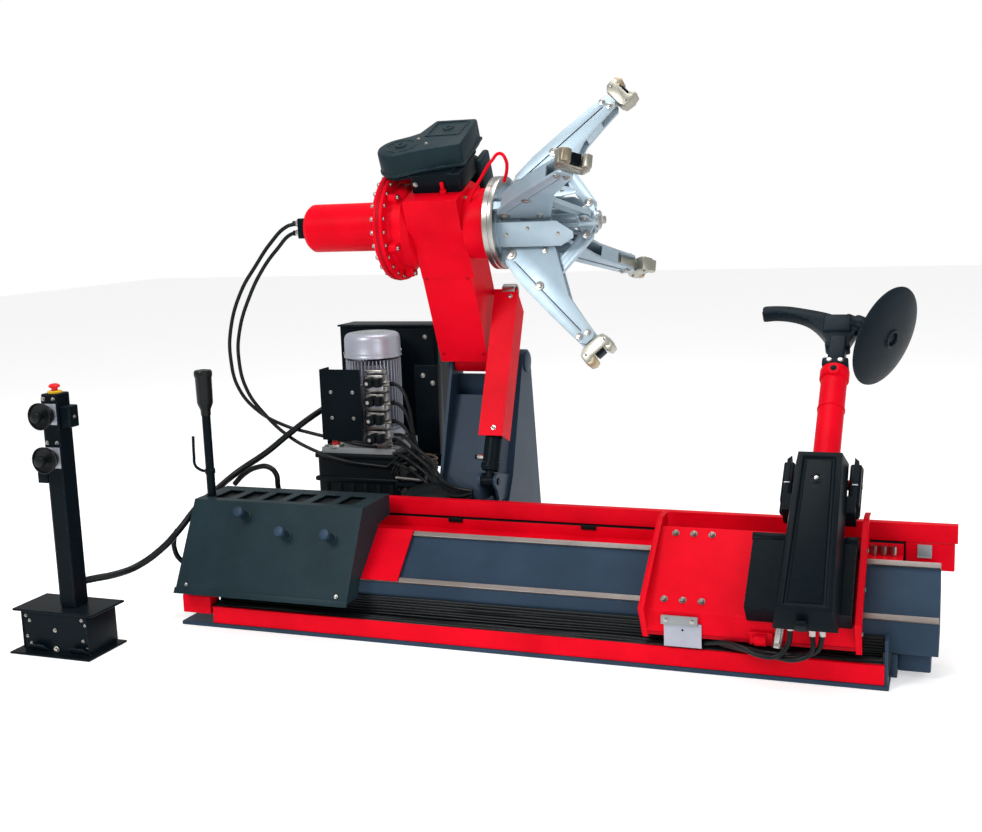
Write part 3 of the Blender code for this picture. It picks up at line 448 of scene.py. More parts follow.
def bed_details():
    hoses = Piece("trough_hoses")
    for i in range(5):
        hoses.put(tube(wavy(0.012 + 0.0085 * i, 0.0620 + 0.003 * (i % 2), -0.985, 0.965), 0.0055), RUBBER)
    for i in range(7):
        hoses.put(tube(wavy(0.0590, 0.0690 + 0.0080 * i, -0.985, 0.965, sway=0.0012), 0.0052), RUBBER)
    hoses.on("root", "black_plastic")
    trough = Piece("trough_lining")
    trough.put(cuboid((0.0655, 0.013, -0.985), (0.0675, 0.0742, 0.965), 0), BLACK, PROFILE)
    trough.put(cuboid((0.007, 0.0168, -0.985), (0.064, 0.046, 0.965), 0.002), PLASTIC, PROFILE)
    trough.on("root", "black_plastic")
    gap_shade_and_fittings = Piece("rear_gap_shade_and_fittings")
    # The thin black strip along the top of the guide angle is painted shade in the dark gap below the rear rail, not a
    # seal.
    gap_shade_and_fittings.put(cuboid((0.3105, 0.2975, -1.05), (0.3117, 0.3015, 1.00), 0.0004), PLASTIC, PROFILE)
    gap_shade_and_fittings.put(cuboid((0.3102, 0.2640, -1.05), (0.3117, 0.2975, 1.00), 0.0004), RED, PROFILE)
    for x in (-0.32, 0.10, 0.62):
        gap_shade_and_fittings.put(cuboid((0.3040, 0.288, x), (0.3105, 0.300, x + 0.045), 0.001), PLASTIC, PROFILE)
    for x in (0.925, 0.950, 0.975):
        gap_shade_and_fittings.rod(PROFILE @ Vector((0.300, 0.268, x)), PROFILE @ Vector((0.300, 0.292, x)), 0.009, STEEL)
    gap_shade_and_fittings.put(cuboid((0.3300, 0.200, 0.925), (0.3320, 0.3015, 1.036), 0), PLASTIC, PROFILE)
    gap_shade_and_fittings.put(cuboid((0.3300, 0.2630, -1.05), (0.3320, 0.3015, 0.925), 0), PLASTIC, PROFILE)
    gap_shade_and_fittings.on("root", "black_plastic")
    tab = Piece("end_block_tab")
    tab.put(cuboid((0.3185, 0.262, 1.035), (0.3217, 0.296, 1.072), 0.001), LID, PROFILE)
    tab.put(cuboid((0.3100, 0.262, 1.035), (0.3217, 0.2645, 1.072), 0.0008), LID, PROFILE)
    tab.on("root", "grey_paint")
    bracket = Piece("bed_end_bracket")
    bracket.put(cuboid((0.095, 0.020, 1.000), (0.225, 0.0745, 1.080), 0.004), GREY, PROFILE)
    bracket.put(cuboid((0.060, 0.013, 0.985), (0.240, 0.0745, 1.000), 0.002), GREY, PROFILE)
    bracket.on("root", "grey_paint")


def tray_details():
    caps = Piece("tray_peg_caps")
    outwards = Vector((0, -math.cos(math.radians(29)), math.sin(math.radians(29))))
    for x, height in ((-0.885, 0.336), (-0.735, 0.290), (-0.585, 0.290)):
        foot = Vector((x, FRONT_Y - 0.050 + (height - 0.122) * 0.140 / 0.252, height))
        caps.rod(foot - 0.0005 * outwards, foot + 0.003 * outwards, 0.019, GREEN, 32, 0.001)
        caps.rod(foot + 0.034 * outwards, foot + 0.0500 * outwards, 0.0150, GREY, 32, 0.002)
    caps.on("root", "dark_green_coat")
    lining = Piece("tray_lining")
    lining.put(cuboid((0.100, 0.361, -1.069), (0.262, 0.364, -0.507), 0), PLASTIC, PROFILE)
    lining.put(cuboid((0.258, 0.312, -1.069), (0.262, 0.369, -0.507), 0), PLASTIC, PROFILE)
    lining.on("root", "black_plastic")
    lip = Piece("tray_lip")
    lip.put(slab([(-0.056, 0.116), (-0.049, 0.116), (-0.041, 0.132), (-0.0475, 0.132)], -1.078, -0.498, (), 0.0008),
            GREEN, PROFILE)
    for x in (-1.040, -0.535):
        lip.bolt(PROFILE @ Vector((-0.0405, 0.1415, x)), outwards, 0.0045, STEEL)
    lip.on("root", "dark_green_coat")
    lever = Piece("tyre_lever_body")
    foot, neck = Vector((-1.0453, -0.240, 0.300)), Vector((-1.0453, -0.240, 0.650))
    lever.rod(foot, neck + 0.02 * Z, 0.0133, BLACK)
    grip = [
        (0, -0.022), (0.0150, -0.022), (0.0160, -0.004), (0.0220, 0.010), (0.0245, 0.018), (0.0255, 0.095),
        (0.0280, 0.102), (0.0280, 0.112), (0.0250, 0.118), (0.0100, 0.120), (0.0100, 0.114), (0, 0.114),
    ]
    lever.put(lathe(grip), RUBBER, Matrix.Translation(neck))
    lever.on("root", "black_coat", "tyre_lever")
    hook = Piece("tray_hook_rod")
    hook.put(tube([(-1.098, -0.240, 0.560), (-1.100, -0.240, 0.500), (-1.098, -0.240, 0.468), (-1.085, -0.240, 0.457),
                   (-1.070, -0.240, 0.452), (-1.0453, -0.240, 0.452)], 0.0046), BLACK)
    hook.rod((-1.0453, -0.240, 0.444), (-1.0453, -0.240, 0.460), 0.0160, BLACK, bevel=0.002)
    hook.on("root", "black_coat")


# ---------------------------------------------------------------- pedestal and hydraulic unit
def pedestal_details():
    hump = Piece("pedestal_foot_cover")
    profile = [(0, 0.088), (0.045, 0.084), (0.085, 0.068), (0.112, 0.040), (0.120, 0.0), (0, 0.0)]
    hump.put(lathe(profile, 64), PLASTIC, Matrix.Translation((-0.405, 0.045, 0.290)) @ Matrix.Diagonal((1.10, 0.62, 1, 1)))
    hump.put(cuboid((-0.530, -0.025, 0.0128), (-0.426, 0.112, 0.2905), 0.012, 3), PLASTIC)
    hump.on("root", "black_plastic")
    trim = Piece("pedestal_trim")
    for x in (-0.392, -0.222):
        for height in (0.10, 0.24):
            trim.bolt(PROFILE @ Vector((0.4700, height, x)), -Y, 0.006, STEEL)
    trim.rod(PIVOT - 0.4365 * X, PIVOT - 0.4305 * X, 0.033, GREY, 32, 0.002)
    trim.rod(PIVOT - 0.1712 * X, PIVOT - 0.1758 * X, 0.033, GREY, 32, 0.001)
    trim.on("root", "grey_paint")


def pump_motor_look():
    foot = Vector((*MOTOR_AXIS, 0.4703))
    slim = Matrix.Diagonal((MOTOR_SLIM, MOTOR_SLIM, 1, 1))
    body = Matrix.Translation(foot) @ slim
    top = Matrix.Translation((*MOTOR_AXIS, 0.740)) @ slim
    motor = Piece("pump_motor_body")
    motor.put(lathe([(0, 0), (0.112, 0), (0.112, 0.012), (0.106, 0.020), (0.088, 0.024), (0.088, 0.242), (0.094, 0.244),
                     (0.094, 0.2455), (0, 0.2455)], 64), SILVER, body)
    for i in range(44):
        turn = Matrix.Rotation(2 * math.pi * i / 44, 4, "Z")
        fin = cuboid((0.084, -0.0016, 0.030), (0.1030, 0.0016, 0.262), 0.0007, 1)
        motor.put(fin, SILVER, body @ turn)
    motor.put(cuboid((-0.035, -0.128, 0.105), (0.035, -0.085, 0.185), 0.004), SILVER, body)
    motor.put(cuboid((-0.038, -0.132, 0.102), (0.038, -0.127, 0.188), 0.003), SILVER, body)
    for point in ring_of(foot + 0.020 * Z, Z, 0.101 * MOTOR_SLIM, 4, math.pi / 4):
        motor.bolt(point - 0.004 * Z, Z, 0.007, STEEL)
    motor.on("root", "motor_silver", "pump_motor")
    fan = Piece("motor_fan_cover_shell")
    shell = [(0, 0.082), (0.078, 0.082), (0.090, 0.0805), (0.098, 0.076), (0.1030, 0.068), (0.1045, 0.058), (0.1055, 0.010),
             (0.1070, 0.008), (0.1080, 0.0), (0.1065, 0.0), (0.1030, 0.050), (0.095, 0.070), (0.080, 0.077), (0, 0.077)]
    fan.put(lathe(shell, 72), SILVER, top)
    for radius in (0.022, 0.036, 0.050, 0.064):
        ring = [(radius, 0), (radius + 0.003, 0.0012), (radius + 0.006, 0), (radius + 0.003, -0.001), (radius, 0)]
        fan.put(lathe(ring, 48), LID, Matrix.Translation((*MOTOR_AXIS, 0.8220)))
    for point in ring_of((*MOTOR_AXIS, 0.756), Z, 0.1052 * MOTOR_SLIM, 4, 0.6):
        fan.bolt(point, point - Vector((*MOTOR_AXIS, 0.756)), 0.004, STEEL)
    fan.on("root", "motor_silver", "motor_fan_cover")


def hydraulic_details():
    tank = Piece("oil_tank_shell")
    tank.put(cuboid((0.567, 0.0123, -0.903), (0.838, 0.430, -0.602), 0.014, 4), PLASTIC, PROFILE)
    tank.put(cuboid((0.560, 0.335, -0.910), (0.845, 0.351, -0.595), 0.005, 3), PLASTIC, PROFILE)
    tank.put(cuboid((0.562, 0.414, -0.908), (0.843, 0.4295, -0.597), 0.004, 3), PLASTIC, PROFILE)
    for i in range(6):
        x = -0.875 + 0.048 * i
        tank.put(cuboid((0.5615, 0.030, x), (0.570, 0.330, x + 0.014), 0.003), PLASTIC, PROFILE)
    tank.on("root", "black_plastic", "oil_tank")
    fittings = Piece("tank_fittings")
    cap = [(0, 0.024), (0.014, 0.024), (0.020, 0.021), (0.022, 0.012), (0.022, 0.004), (0.018, 0.003), (0.018, 0), (0, 0)]
    cap = [(0.65 * radius, 0.75 * height) for radius, height in cap]
    fittings.put(lathe(cap, 40), BUTTON, Matrix.Translation((-0.840, 0.212, 0.4525)))
    fittings.put(lathe([(0, 0.009), (0.026, 0.009), (0.027, 0.006), (0.027, 0), (0, 0)], 40), STEEL,
                 Matrix.Translation((-0.840, 0.212, 0.4495)))
    for x, y in ((-0.875, 0.205), (-0.625, 0.205), (-0.875, 0.440), (-0.625, 0.440)):
        fittings.bolt((x, y, 0.4500), Z, 0.0055, STEEL)
    fittings.on("root", "motor_silver")
    valves = Piece("valve_stack")
    for i in range(4):
        z = 0.4505 + 0.0625 * i
        valves.put(cuboid((0.583, z, -0.718), (0.628, z + 0.057, -0.650), 0.003), STEEL, PROFILE)
        valves.put(cuboid((0.578, z + 0.010, -0.712), (0.584, z + 0.049, -0.656), 0.002), SILVER, PROFILE)
        coil = PROFILE @ Vector((0.578, z + 0.036, -0.684))
        valves.rod(coil, coil - 0.044 * Y, 0.0175, PLASTIC, 32, 0.003)
        valves.rod(coil - 0.043 * Y, coil - 0.050 * Y, 0.0065, STEEL, 6)
        valves.put(cuboid((0.538, z + 0.022, -0.664), (0.572, z + 0.052, -0.644), 0.003), PLASTIC, PROFILE)
        elbow = PROFILE @ Vector((0.592, z + 0.028, -0.650))
        valves.rod(elbow, elbow + 0.022 * X, 0.0095, STEEL, 6)
        valves.rod(elbow + 0.020 * X, elbow + 0.036 * X, 0.0075, BLACK, 20)
    valves.put(cuboid((0.583, 0.7005, -0.716), (0.626, 0.712, -0.652), 0.003), STEEL, PROFILE)
    valves.on("root", "bright_steel", "valve_block")
    panels = Piece("valve_panel_screws")
    for x in (-0.832, -0.752):
        for z in (0.553, 0.640):
            panels.bolt(PROFILE @ Vector((0.5602, z, x)), -Y, 0.0045, STEEL, True)
    panels.on("root", "bright_steel")
    side = Piece("hydraulic_side_panel")
    side.put(cuboid((0.700, 0.4125, -0.588), (0.704, 0.715, -0.505), 0.0015), BLACK, PROFILE)
    side.put(cuboid((0.700, 0.4125, -0.5095), (0.745, 0.715, -0.505), 0.0015), BLACK, PROFILE)
    side.put(cuboid((0.704, 0.0125, -0.560), (0.724, 0.4130, -0.535), 0.002), BLACK, PROFILE)
    side.bolt(PROFILE @ Vector((0.7000, 0.680, -0.556)), -Y, 0.006, STEEL)
    side.bolt(PROFILE @ Vector((0.7000, 0.655, -0.522)), -Y, 0.006, STEEL)
    side.on("root", "black_coat")
    coils = Piece("cable_glands")
    for i in range(5):
        ring = Matrix.Translation((-0.522, 0.262, 0.350 + 0.016 * i)) @ Matrix.Rotation(0.25, 4, "Y")
        loop = [ring @ Vector((0.026 * math.cos(a), 0.026 * math.sin(a), 0)) for a in
                [2 * math.pi * k / 12 for k in range(13)]]
        coils.put(tube(loop, 0.0042), COPPER)
    coils.rod((-0.522, 0.262, 0.0125), (-0.522, 0.262, 0.345), 0.018, BLACK)
    coils.put(cuboid((-0.552, 0.232, 0.330), (-0.492, 0.292, 0.342), 0.003), STEEL)
    coils.on("root", "black_plastic")
    cabinet = Piece("cabinet_details")
    cabinet.put(cuboid((0.8765, 0.345, -0.935), (0.8800, 0.818, -0.590), 0.0015), BLACK, PROFILE)
    cabinet.put(cuboid((0.870, 0.826, -0.956), (1.004, 0.8325, -0.569), 0.002), BLACK, PROFILE)
    for x, z in ((-0.620, 0.790), (-0.905, 0.790), (-0.905, 0.375), (-0.620, 0.375)):
        cabinet.bolt(PROFILE @ Vector((0.8765, z, x)), -Y, 0.006, STEEL)
    cabinet.put(cuboid((0.860, 0.560, -0.612), (0.8766, 0.590, -0.600), 0.003), PLASTIC, PROFILE)
    cabinet.on("root", "black_coat")


# ---------------------------------------------------------------- control stand
def stand_details():
    base = Piece("stand_base_details")
    front = FRONT_Y - 0.335
    for x in (-1.390, -1.195):
        for z in (0.030, 0.050, 0.098, 0.112):
            base.bolt((x + (0.012 if z in (0.030, 0.098) else 0), front, z), -Y, 0.0035, STEEL, True)
    base.bolt((-1.290, front, 0.075), -Y, 0.0045, STEEL, True)
    base.bolt((-1.290, front - 0.0005, 0.018), -Y, 0.007, STEEL)
    for x in (-1.385, -1.245):
        tab = [(0, 0), (0.075, 0), (0.062, 0.030), (0.010, 0.030)]
        base.put(slab(tab, 0, 0.003), BLACK, placed(Vector((x, front - 0.001, 0.012)), X, Vector((0, -0.64, 0.77))))
    base.put(cuboid((-1.407, front - 0.002, 0.012), (-1.402, front + 0.132, 0.126), 0.001), BLACK)
    base.put(cuboid((-1.183, front - 0.002, 0.012), (-1.178, front + 0.132, 0.126), 0.001), BLACK)
    base.on("root", "black_coat")
    column = Piece("stand_column_details")
    face = FRONT_Y - 0.300
    for z in (0.700, 0.575):
        for dx in (-0.017, 0.017):
            column.bolt((STAND_X + dx, face, z + 0.043), -Y, 0.0045, STEEL)
        column.put(cuboid((STAND_X - 0.024, face - 0.0035, z - 0.030), (STAND_X + 0.024, face, z + 0.030), 0.0015), SILVER)
    column.put(cuboid((STAND_X - 0.060, face - 0.0030, 0.500), (STAND_X - 0.0265, face + 0.030, 0.532), 0.002), BLACK)
    column.put(cuboid((STAND_X - 0.0300, face + 0.004, 0.142), (STAND_X - 0.0262, face + 0.052, 0.745), 0.001), BLACK)
    column.bolt((STAND_X + 0.0583, FRONT_Y - 0.269, 0.690), X, 0.004, STEEL)
    column.put(lathe([(0.010, 0), (0.0200, 0), (0.0205, 0.005), (0.0185, 0.0060), (0.010, 0.0060), (0.010, 0)], 40), YELLOW,
               Matrix.Translation((STAND_X, FRONT_Y - 0.270, 0.757)))
    column.on("root", "black_plastic")
    for name, z in (("joystick_upper", 0.700), ("joystick_lower", 0.575)):
        stick = Piece(name + "_gaiter")
        profile = [
            (0, 0.006), (0.019, 0.006), (0.026, 0.008), (0.024, 0.014), (0.031, 0.018), (0.029, 0.023), (0.036, 0.028),
            (0.0385, 0.036), (0.0385, 0.041), (0.036, 0.042), (0.033, 0.034), (0.020, 0.030), (0.0085, 0.031), (0.0085, 0.044),
            (0.015, 0.046), (0.0165, 0.054), (0.0150, 0.061), (0.009, 0.0635), (0, 0.064),
        ]
        stick.put(lathe(profile, 56), RUBBER, placed(Vector((STAND_X, face - 0.004, z)), X, Z))
        stick.on(name, "black_plastic", name)
    knob = Piece("emergency_mushroom")
    profile = [(0, 0.0200), (0.007, 0.0197), (0.0120, 0.0182), (0.0155, 0.0150), (0.0160, 0.0110), (0.0145, 0.0085),
               (0.0090, 0.0075), (0.0090, 0.0005), (0, 0.0005)]
    knob.put(lathe(profile, 48), BUTTON, Matrix.Translation((STAND_X, FRONT_Y - 0.270, 0.7635)))
    knob.on("emergency_button", "red_paint", "emergency_button")


# ---------------------------------------------------------------- chuck arm
def arm_top(x, back, up):
    return ARM_TOP @ Vector((x, back, up))


def arm_details():
    rim = Piece("gear_case_bolts")
    for point in ring_of(CHUCK - 0.5095 * X, X, 0.154, 24, 0.1):
        rim.rod(point - 0.0190 * X, point - 0.0130 * X, 0.0085, STEEL, 20)
        rim.rod(point - 0.0260 * X, point - 0.0190 * X, 0.0068, STEEL, 6, 0.0008)
        rim.rod(point + 0.0140 * X, point + 0.0215 * X, 0.0068, STEEL, 6, 0.0008)
    rim.on("chuck_arm", "bright_steel")
    case = Piece("gear_case_casting")
    profile = [(0.118, -0.440), (0.130, -0.452), (0.130, -0.486), (0.136, -0.492), (0.118, -0.4935), (0.118, -0.440)]
    case.put(lathe(profile, 72), RED, CHUCK_AXIS)
    profile = [(0.1600, -0.5065), (0.1672, -0.5050), (0.1680, -0.5095), (0.1672, -0.5140), (0.1600, -0.5125), (0.1600, -0.5065)]
    case.put(lathe(profile, 72), DEEP_RED, CHUCK_AXIS)
    for turn in (0.4, 1.45, 2.5, 3.6, 4.65, 5.7):
        place = CHUCK_AXIS @ Matrix.Rotation(turn, 4, "Z")
        lug = slab([(0.110, -0.016), (0.150, -0.013), (0.158, 0), (0.150, 0.013), (0.110, 0.016)], -0.490, -0.462, (), 0.004)
        case.put(lug, RED, place)
        centre = place @ Vector((0.145, 0, -0.462))
        case.rod(centre, centre + 0.008 * X, 0.0085, STEEL, 6, 0.001)
    case.on("chuck_arm", "red_paint")
    gearbox = Piece("gearbox_details")
    profile = [(0.090, -0.1900), (0.094, -0.1885), (0.100, -0.1930), (0.1055, -0.1990), (0.1040, -0.2040), (0.090, -0.1900)]
    gearbox.put(lathe(profile, 72), RED, CHUCK_AXIS)
    gearbox.rod(arm_top(-0.318, -0.050, 0.6095), arm_top(-0.318, -0.050, 0.6240), 0.0100, RED, 24, 0.002)
    gearbox.rod(arm_top(-0.318, -0.050, 0.6235), arm_top(-0.318, -0.050, 0.6480), 0.0060, RED, 24, 0.003)
    for x, back, up in ((-0.448, -0.060, 0.480), (-0.448, 0.060, 0.480)):
        gearbox.put(cuboid((x, back - 0.014, up - 0.030), (x + 0.016, back + 0.014, up + 0.030), 0.004), RED, ARM_TOP)
    gearbox.bolt(arm_top(-0.2615, -0.030, 0.585), X, 0.0065, STEEL)
    for x in (-0.420, -0.285):
        for up in (0.075, 0.345):
            gearbox.rod(arm_top(x, -0.0775, up), arm_top(x, -0.0805, up), 0.0055, DEEP_RED, 20, 0.001)
    gearbox.on("chuck_arm", "red_paint")
    cylinder_head = Piece("chuck_cylinder_fittings")
    for point in ring_of(CHUCK - 0.5590 * X, X, 0.0785, 8, 0.3):
        cylinder_head.rod(point - 0.0045 * X, point + 0.002 * X, 0.0032, STEEL, 20)
    block = CHUCK - 0.826 * X
    cylinder_head.put(cuboid((-0.856, -0.024, -0.030), (-0.8265, 0.024, 0.034), 0.004), BLACK, Matrix.Translation(Vector((0, block.y, block.z))))
    for dz in (-0.012, 0.018):
        port = block + Vector((-0.030, -0.004, dz))
        cylinder_head.rod(port, port - 0.014 * X, 0.0105, STEEL, 6, 0.001)
        cylinder_head.rod(port - 0.013 * X, port - 0.024 * X, 0.0085, BLACK, 24)
    cylinder_head.on("chuck_arm", "black_coat")
    plate = Piece("belt_cover_front_plate")
    front = ARM_TOP @ Matrix.Translation((-0.4200, -0.0425, 0.0))
    plate.put(slab([(0, 0.6115), (0.152, 0.6115), (0.160, 0.668), (0.008, 0.668)], 0, 0.003, (), 0.001), BLACK,
              ARM_TOP @ Matrix.Translation((-0.420, -0.0395, 0)) @ Matrix.Rotation(math.pi / 2, 4, "X"))
    plate.bolt(front @ Vector((0.014, 0.0, 0.640)), -ARM_UP.cross(X), 0.0055, STEEL)
    plate.put(cuboid((-0.300, -0.040, 0.6115), (-0.262, 0.100, 0.6680), 0.004), BLACK, ARM_TOP)
    plate.put(cuboid((-0.392, -0.036, 0.6115), (-0.290, 0.030, 0.6702), 0.002), BLACK, ARM_TOP)
    plate.on("chuck_arm", "black_coat")


def cover_outline(inset):
    left = circle((-0.452, 0.015), 0.074 - inset, 15, math.radians(130), math.radians(140))
    square = [(-0.395, -0.028 + inset), (-0.350, -0.012 + inset), (-0.262 - inset, 0.012 + inset),
              (-0.268 - inset, 0.118), (-0.274 - inset, 0.216 - inset), (-0.412 + inset, 0.218 - inset),
              (-0.432 + inset, 0.120), (-0.455 + inset * 0.5, 0.098 - inset)]
    return left + square


def belt_cover_look():
    cover = Piece("belt_cover_shell")
    cover.put(slab(cover_outline(0.0), 0.671, 0.741, (), 0.009), GREEN, ARM_TOP)
    cover.put(slab(cover_outline(-0.003), 0.671, 0.680, (), 0.002), GREEN, ARM_TOP)
    left = ARM_TOP @ Matrix.Translation((-0.452, 0.015, 0.7405))
    ring = [(0.040, 0.0), (0.0425, 0.0032), (0.0475, 0.0032), (0.050, 0.0), (0.040, 0.0)]
    cover.put(lathe(ring, 64), GREEN, left)
    cover.put(lathe([(0, 0.0035), (0.008, 0.0035), (0.008, 0.006), (0.015, 0.0065), (0.018, 0.004), (0.019, 0), (0, 0)], 40), GREEN, left)
    frame_outer = [(-0.400, 0.082), (-0.290, 0.082), (-0.290, 0.196), (-0.400, 0.196)]
    frame_inner = [(-0.394, 0.088), (-0.296, 0.088), (-0.296, 0.190), (-0.394, 0.190)]
    cover.put(slab(frame_outer, 0.7408, 0.7440, (frame_inner,), 0.001), GREEN, ARM_TOP)
    right = ARM_TOP @ Matrix.Translation((-0.343, 0.140, 0.7405))
    cover.put(lathe([(0, 0.003), (0.008, 0.003), (0.008, 0.0055), (0.015, 0.006), (0.018, 0.0035), (0.019, 0), (0, 0)], 40), GREEN, right)
    for x, back in ((-0.412, 0.060), (-0.372, 0.020)):
        cover.bolt(arm_top(x, back, 0.7408), ARM_UP, 0.005, STEEL)
    cover.on("chuck_arm", "dark_green_coat", "belt_cover")
    motor = Piece("drive_motor_body")
    top = ARM_TOP @ Vector((-0.335, 0.150, 0.6585))
    low = ARM_TOP @ Vector((-0.335, 0.174, 0.6210))
    motor.put(lathe([(0, 0), (0.058, 0), (0.058, 0.008), (0.050, 0.012), (0.050, 0.045), (0, 0.045)], 48), BLACK, along(-ARM_UP, top))
    shell = [(0, 0), (0.052, 0), (0.056, 0.006), (0.056, 0.150), (0.058, 0.152), (0.058, 0.182), (0.050, 0.190), (0, 0.190)]
    motor.put(lathe(shell, 48), BLACK, along(-ARM_UP, low))
    for i in range(28):
        turn = along(-ARM_UP, low) @ Matrix.Rotation(2 * math.pi * i / 28, 4, "Z")
        motor.put(cuboid((0.053, -0.0013, 0.014), (0.0595, 0.0013, 0.146), 0.0005, 1), BLACK, turn)
    motor.put(cuboid((-0.2775, 0.120, 0.500), (-0.2550, 0.215, 0.640), 0.008, 3), GREEN, ARM_TOP)
    motor.put(cuboid((-0.2800, 0.128, 0.515), (-0.2530, 0.207, 0.625), 0.004, 2), GREEN, ARM_TOP)
    motor.on("chuck_arm", "black_coat", "drive_motor")


# ---------------------------------------------------------------- chuck
def along_clamp(u, v):
    c, s = math.cos(CLAMP_ANGLE), math.sin(CLAMP_ANGLE)
    return (CLAMP_PIVOT[0] + u * c - v * s, CLAMP_PIVOT[1] + u * s + v * c)


def on_clamp(points):
    return [along_clamp(u, v) for u, v in points]


def pinned(piece, place, point, half, radius, surface):
    """A pin across a fork, with a ring and a domed end on each side."""
    for side in (-1, 1):
        inner = place @ Vector((*point, side * (half - 0.004)))
        outer = place @ Vector((*point, side * half))
        tip = place @ Vector((*point, side * (half + 0.0035)))
        piece.rod(inner, outer, radius * 1.75, surface, 28, 0.0006)
        piece.rod(outer, tip, radius, surface, 24, 0.0012)


def clamp_looks():
    plate = on_clamp([
        (-0.022, -0.018), (0.004, -0.040), (0.045, -0.102), (0.080, -0.110), (0.150, -0.078), (0.225, -0.044),
        (0.300, -0.034), (0.362, -0.028), (0.3745, -0.014), (0.3745, 0.012), (0.362, 0.023), (0.210, 0.032),
        (0.090, 0.036), (0.010, 0.030), (-0.022, 0.012),
    ])
    web = on_clamp([(0.036, 0.0265), (0.090, 0.0300), (0.210, 0.0260), (0.300, 0.0215), (0.300, 0.0265), (0.210, 0.0315),
                    (0.090, 0.0355), (0.036, 0.0325)])
    inner_web = on_clamp([(0.235, -0.0425), (0.300, -0.0337), (0.300, -0.0290), (0.235, -0.0375)])
    strip = on_clamp([(-0.012, 0.0080), (0.350, -0.0010), (0.350, 0.0235), (0.210, 0.0325), (0.090, 0.0365), (0.010, 0.0300)])
    groove = on_clamp([(0.024, 0.0045), (0.335, -0.0035), (0.335, -0.0008), (0.024, 0.0073)])
    body_of_jaw = on_clamp([
        (0.377, -0.030), (0.384, -0.046), (0.416, -0.0495), (0.424, -0.034), (0.4150, -0.024), (0.4150, 0.024),
        (0.424, 0.034), (0.418, 0.0495), (0.390, 0.046), (0.377, 0.030),
    ])
    shank = on_clamp([(0.322, -0.0130), (0.385, -0.0150), (0.385, 0.0150), (0.322, 0.0130)])
    low_hook = on_clamp([(0.410, -0.0495), (0.4345, -0.0440), (0.4370, -0.0260), (0.4240, -0.0190), (0.410, -0.0240)])
    high_hook = on_clamp([(0.410, 0.0495), (0.4310, 0.0460), (0.4370, 0.0320), (0.4330, 0.0180), (0.410, 0.0160)])
    insert = on_clamp([(0.392, -0.0180), (0.4235, -0.0170), (0.4235, 0.0120), (0.392, 0.0140)])
    for i in range(4):
        place, body = radial(i), f"clamp_{i + 1}"
        arm = Piece(f"clamp_arm_plates_{i + 1}")
        for side in (-1, 1):
            arm.put(slab(plate, side * 0.02 - 0.004, side * 0.02 + 0.004, (), 0.0012), ZINC, place)
            arm.put(slab(strip, side * 0.0248 - 0.001, side * 0.0248 + 0.001, (), 0.0006), ZINC, place)
            arm.put(slab(groove, side * 0.0240 - 0.0004, side * 0.0240 + 0.0004, (), 0), BLACK, place)
        for outline in (web, inner_web):
            arm.put(slab(outline, -0.0165, 0.0165, (), 0.0008), ZINC, place)
        pinned(arm, place, along_clamp(0, 0), 0.0275, 0.0095, STEEL)
        pinned(arm, place, along_clamp(CLAMP_LINK, 0), 0.0275, 0.0080, STEEL)
        pinned(arm, place, along_clamp(0.066, -0.082), 0.0265, 0.0055, STEEL)
        pinned(arm, place, along_clamp(0.345, 0.0120), 0.0275, 0.0060, STEEL)
        pinned(arm, place, along_clamp(0.352, -0.0135), 0.0265, 0.0060, STEEL)
        for u, v, radius in ((0, 0, 0.0095), (CLAMP_LINK, 0, 0.0080), (0.066, -0.082, 0.0080)):
            ends = [place @ Vector((*along_clamp(u, v), t)) for t in (-0.0165, 0.0165)]
            arm.rod(*ends, radius, STEEL)
        arm.on(body, "zinc_plate", f"clamp_arm_{i + 1}")
        tip = Piece(f"clamp_jaw_look_{i + 1}")
        tip.put(slab(shank, -0.0150, 0.0150, (), 0.0015), KHAKI, place)
        tip.put(slab(body_of_jaw, -0.0215, 0.0215, (), 0.0030), KHAKI, place)
        tip.put(slab(insert, -0.0170, 0.0170, (), 0.0025), BLACK, place)
        tip.put(slab(low_hook, -0.0190, 0.0190, (), 0.0030), KHAKI, place)
        tip.put(slab(high_hook, -0.0190, 0.0190, (), 0.0030), BRASS, place)
        for v in (-0.034, 0.034):
            for side in (-1, 1):
                point = place @ Vector((*along_clamp(0.398, v), side * 0.0205))
                tip.bolt(point, side * (place.to_3x3() @ Z), 0.0042, STEEL, True)
        tip.on(body, "jaw_bronze", f"clamp_jaw_{i + 1}")
        far = along_clamp(CLAMP_LINK, 0)
        link = Piece(f"clamp_link_look_{i + 1}")
        c, s = far[0] - LINK_FOOT[0], far[1] - LINK_FOOT[1]
        turn = math.atan2(s, c)
        capsule = (circle(far, 0.0185, 15, turn - math.pi / 2, math.pi)
                   + circle(LINK_FOOT, 0.0185, 15, turn + math.pi / 2, math.pi))
        holes = (circle(LINK_FOOT, 0.0085, 24), circle(far, 0.0130, 24))
        link.put(slab(capsule, -0.0068, 0.0068, holes, 0.0015), ZINC, place)
        link.on(f"link_{i + 1}", "zinc_plate", f"clamp_link_{i + 1}")


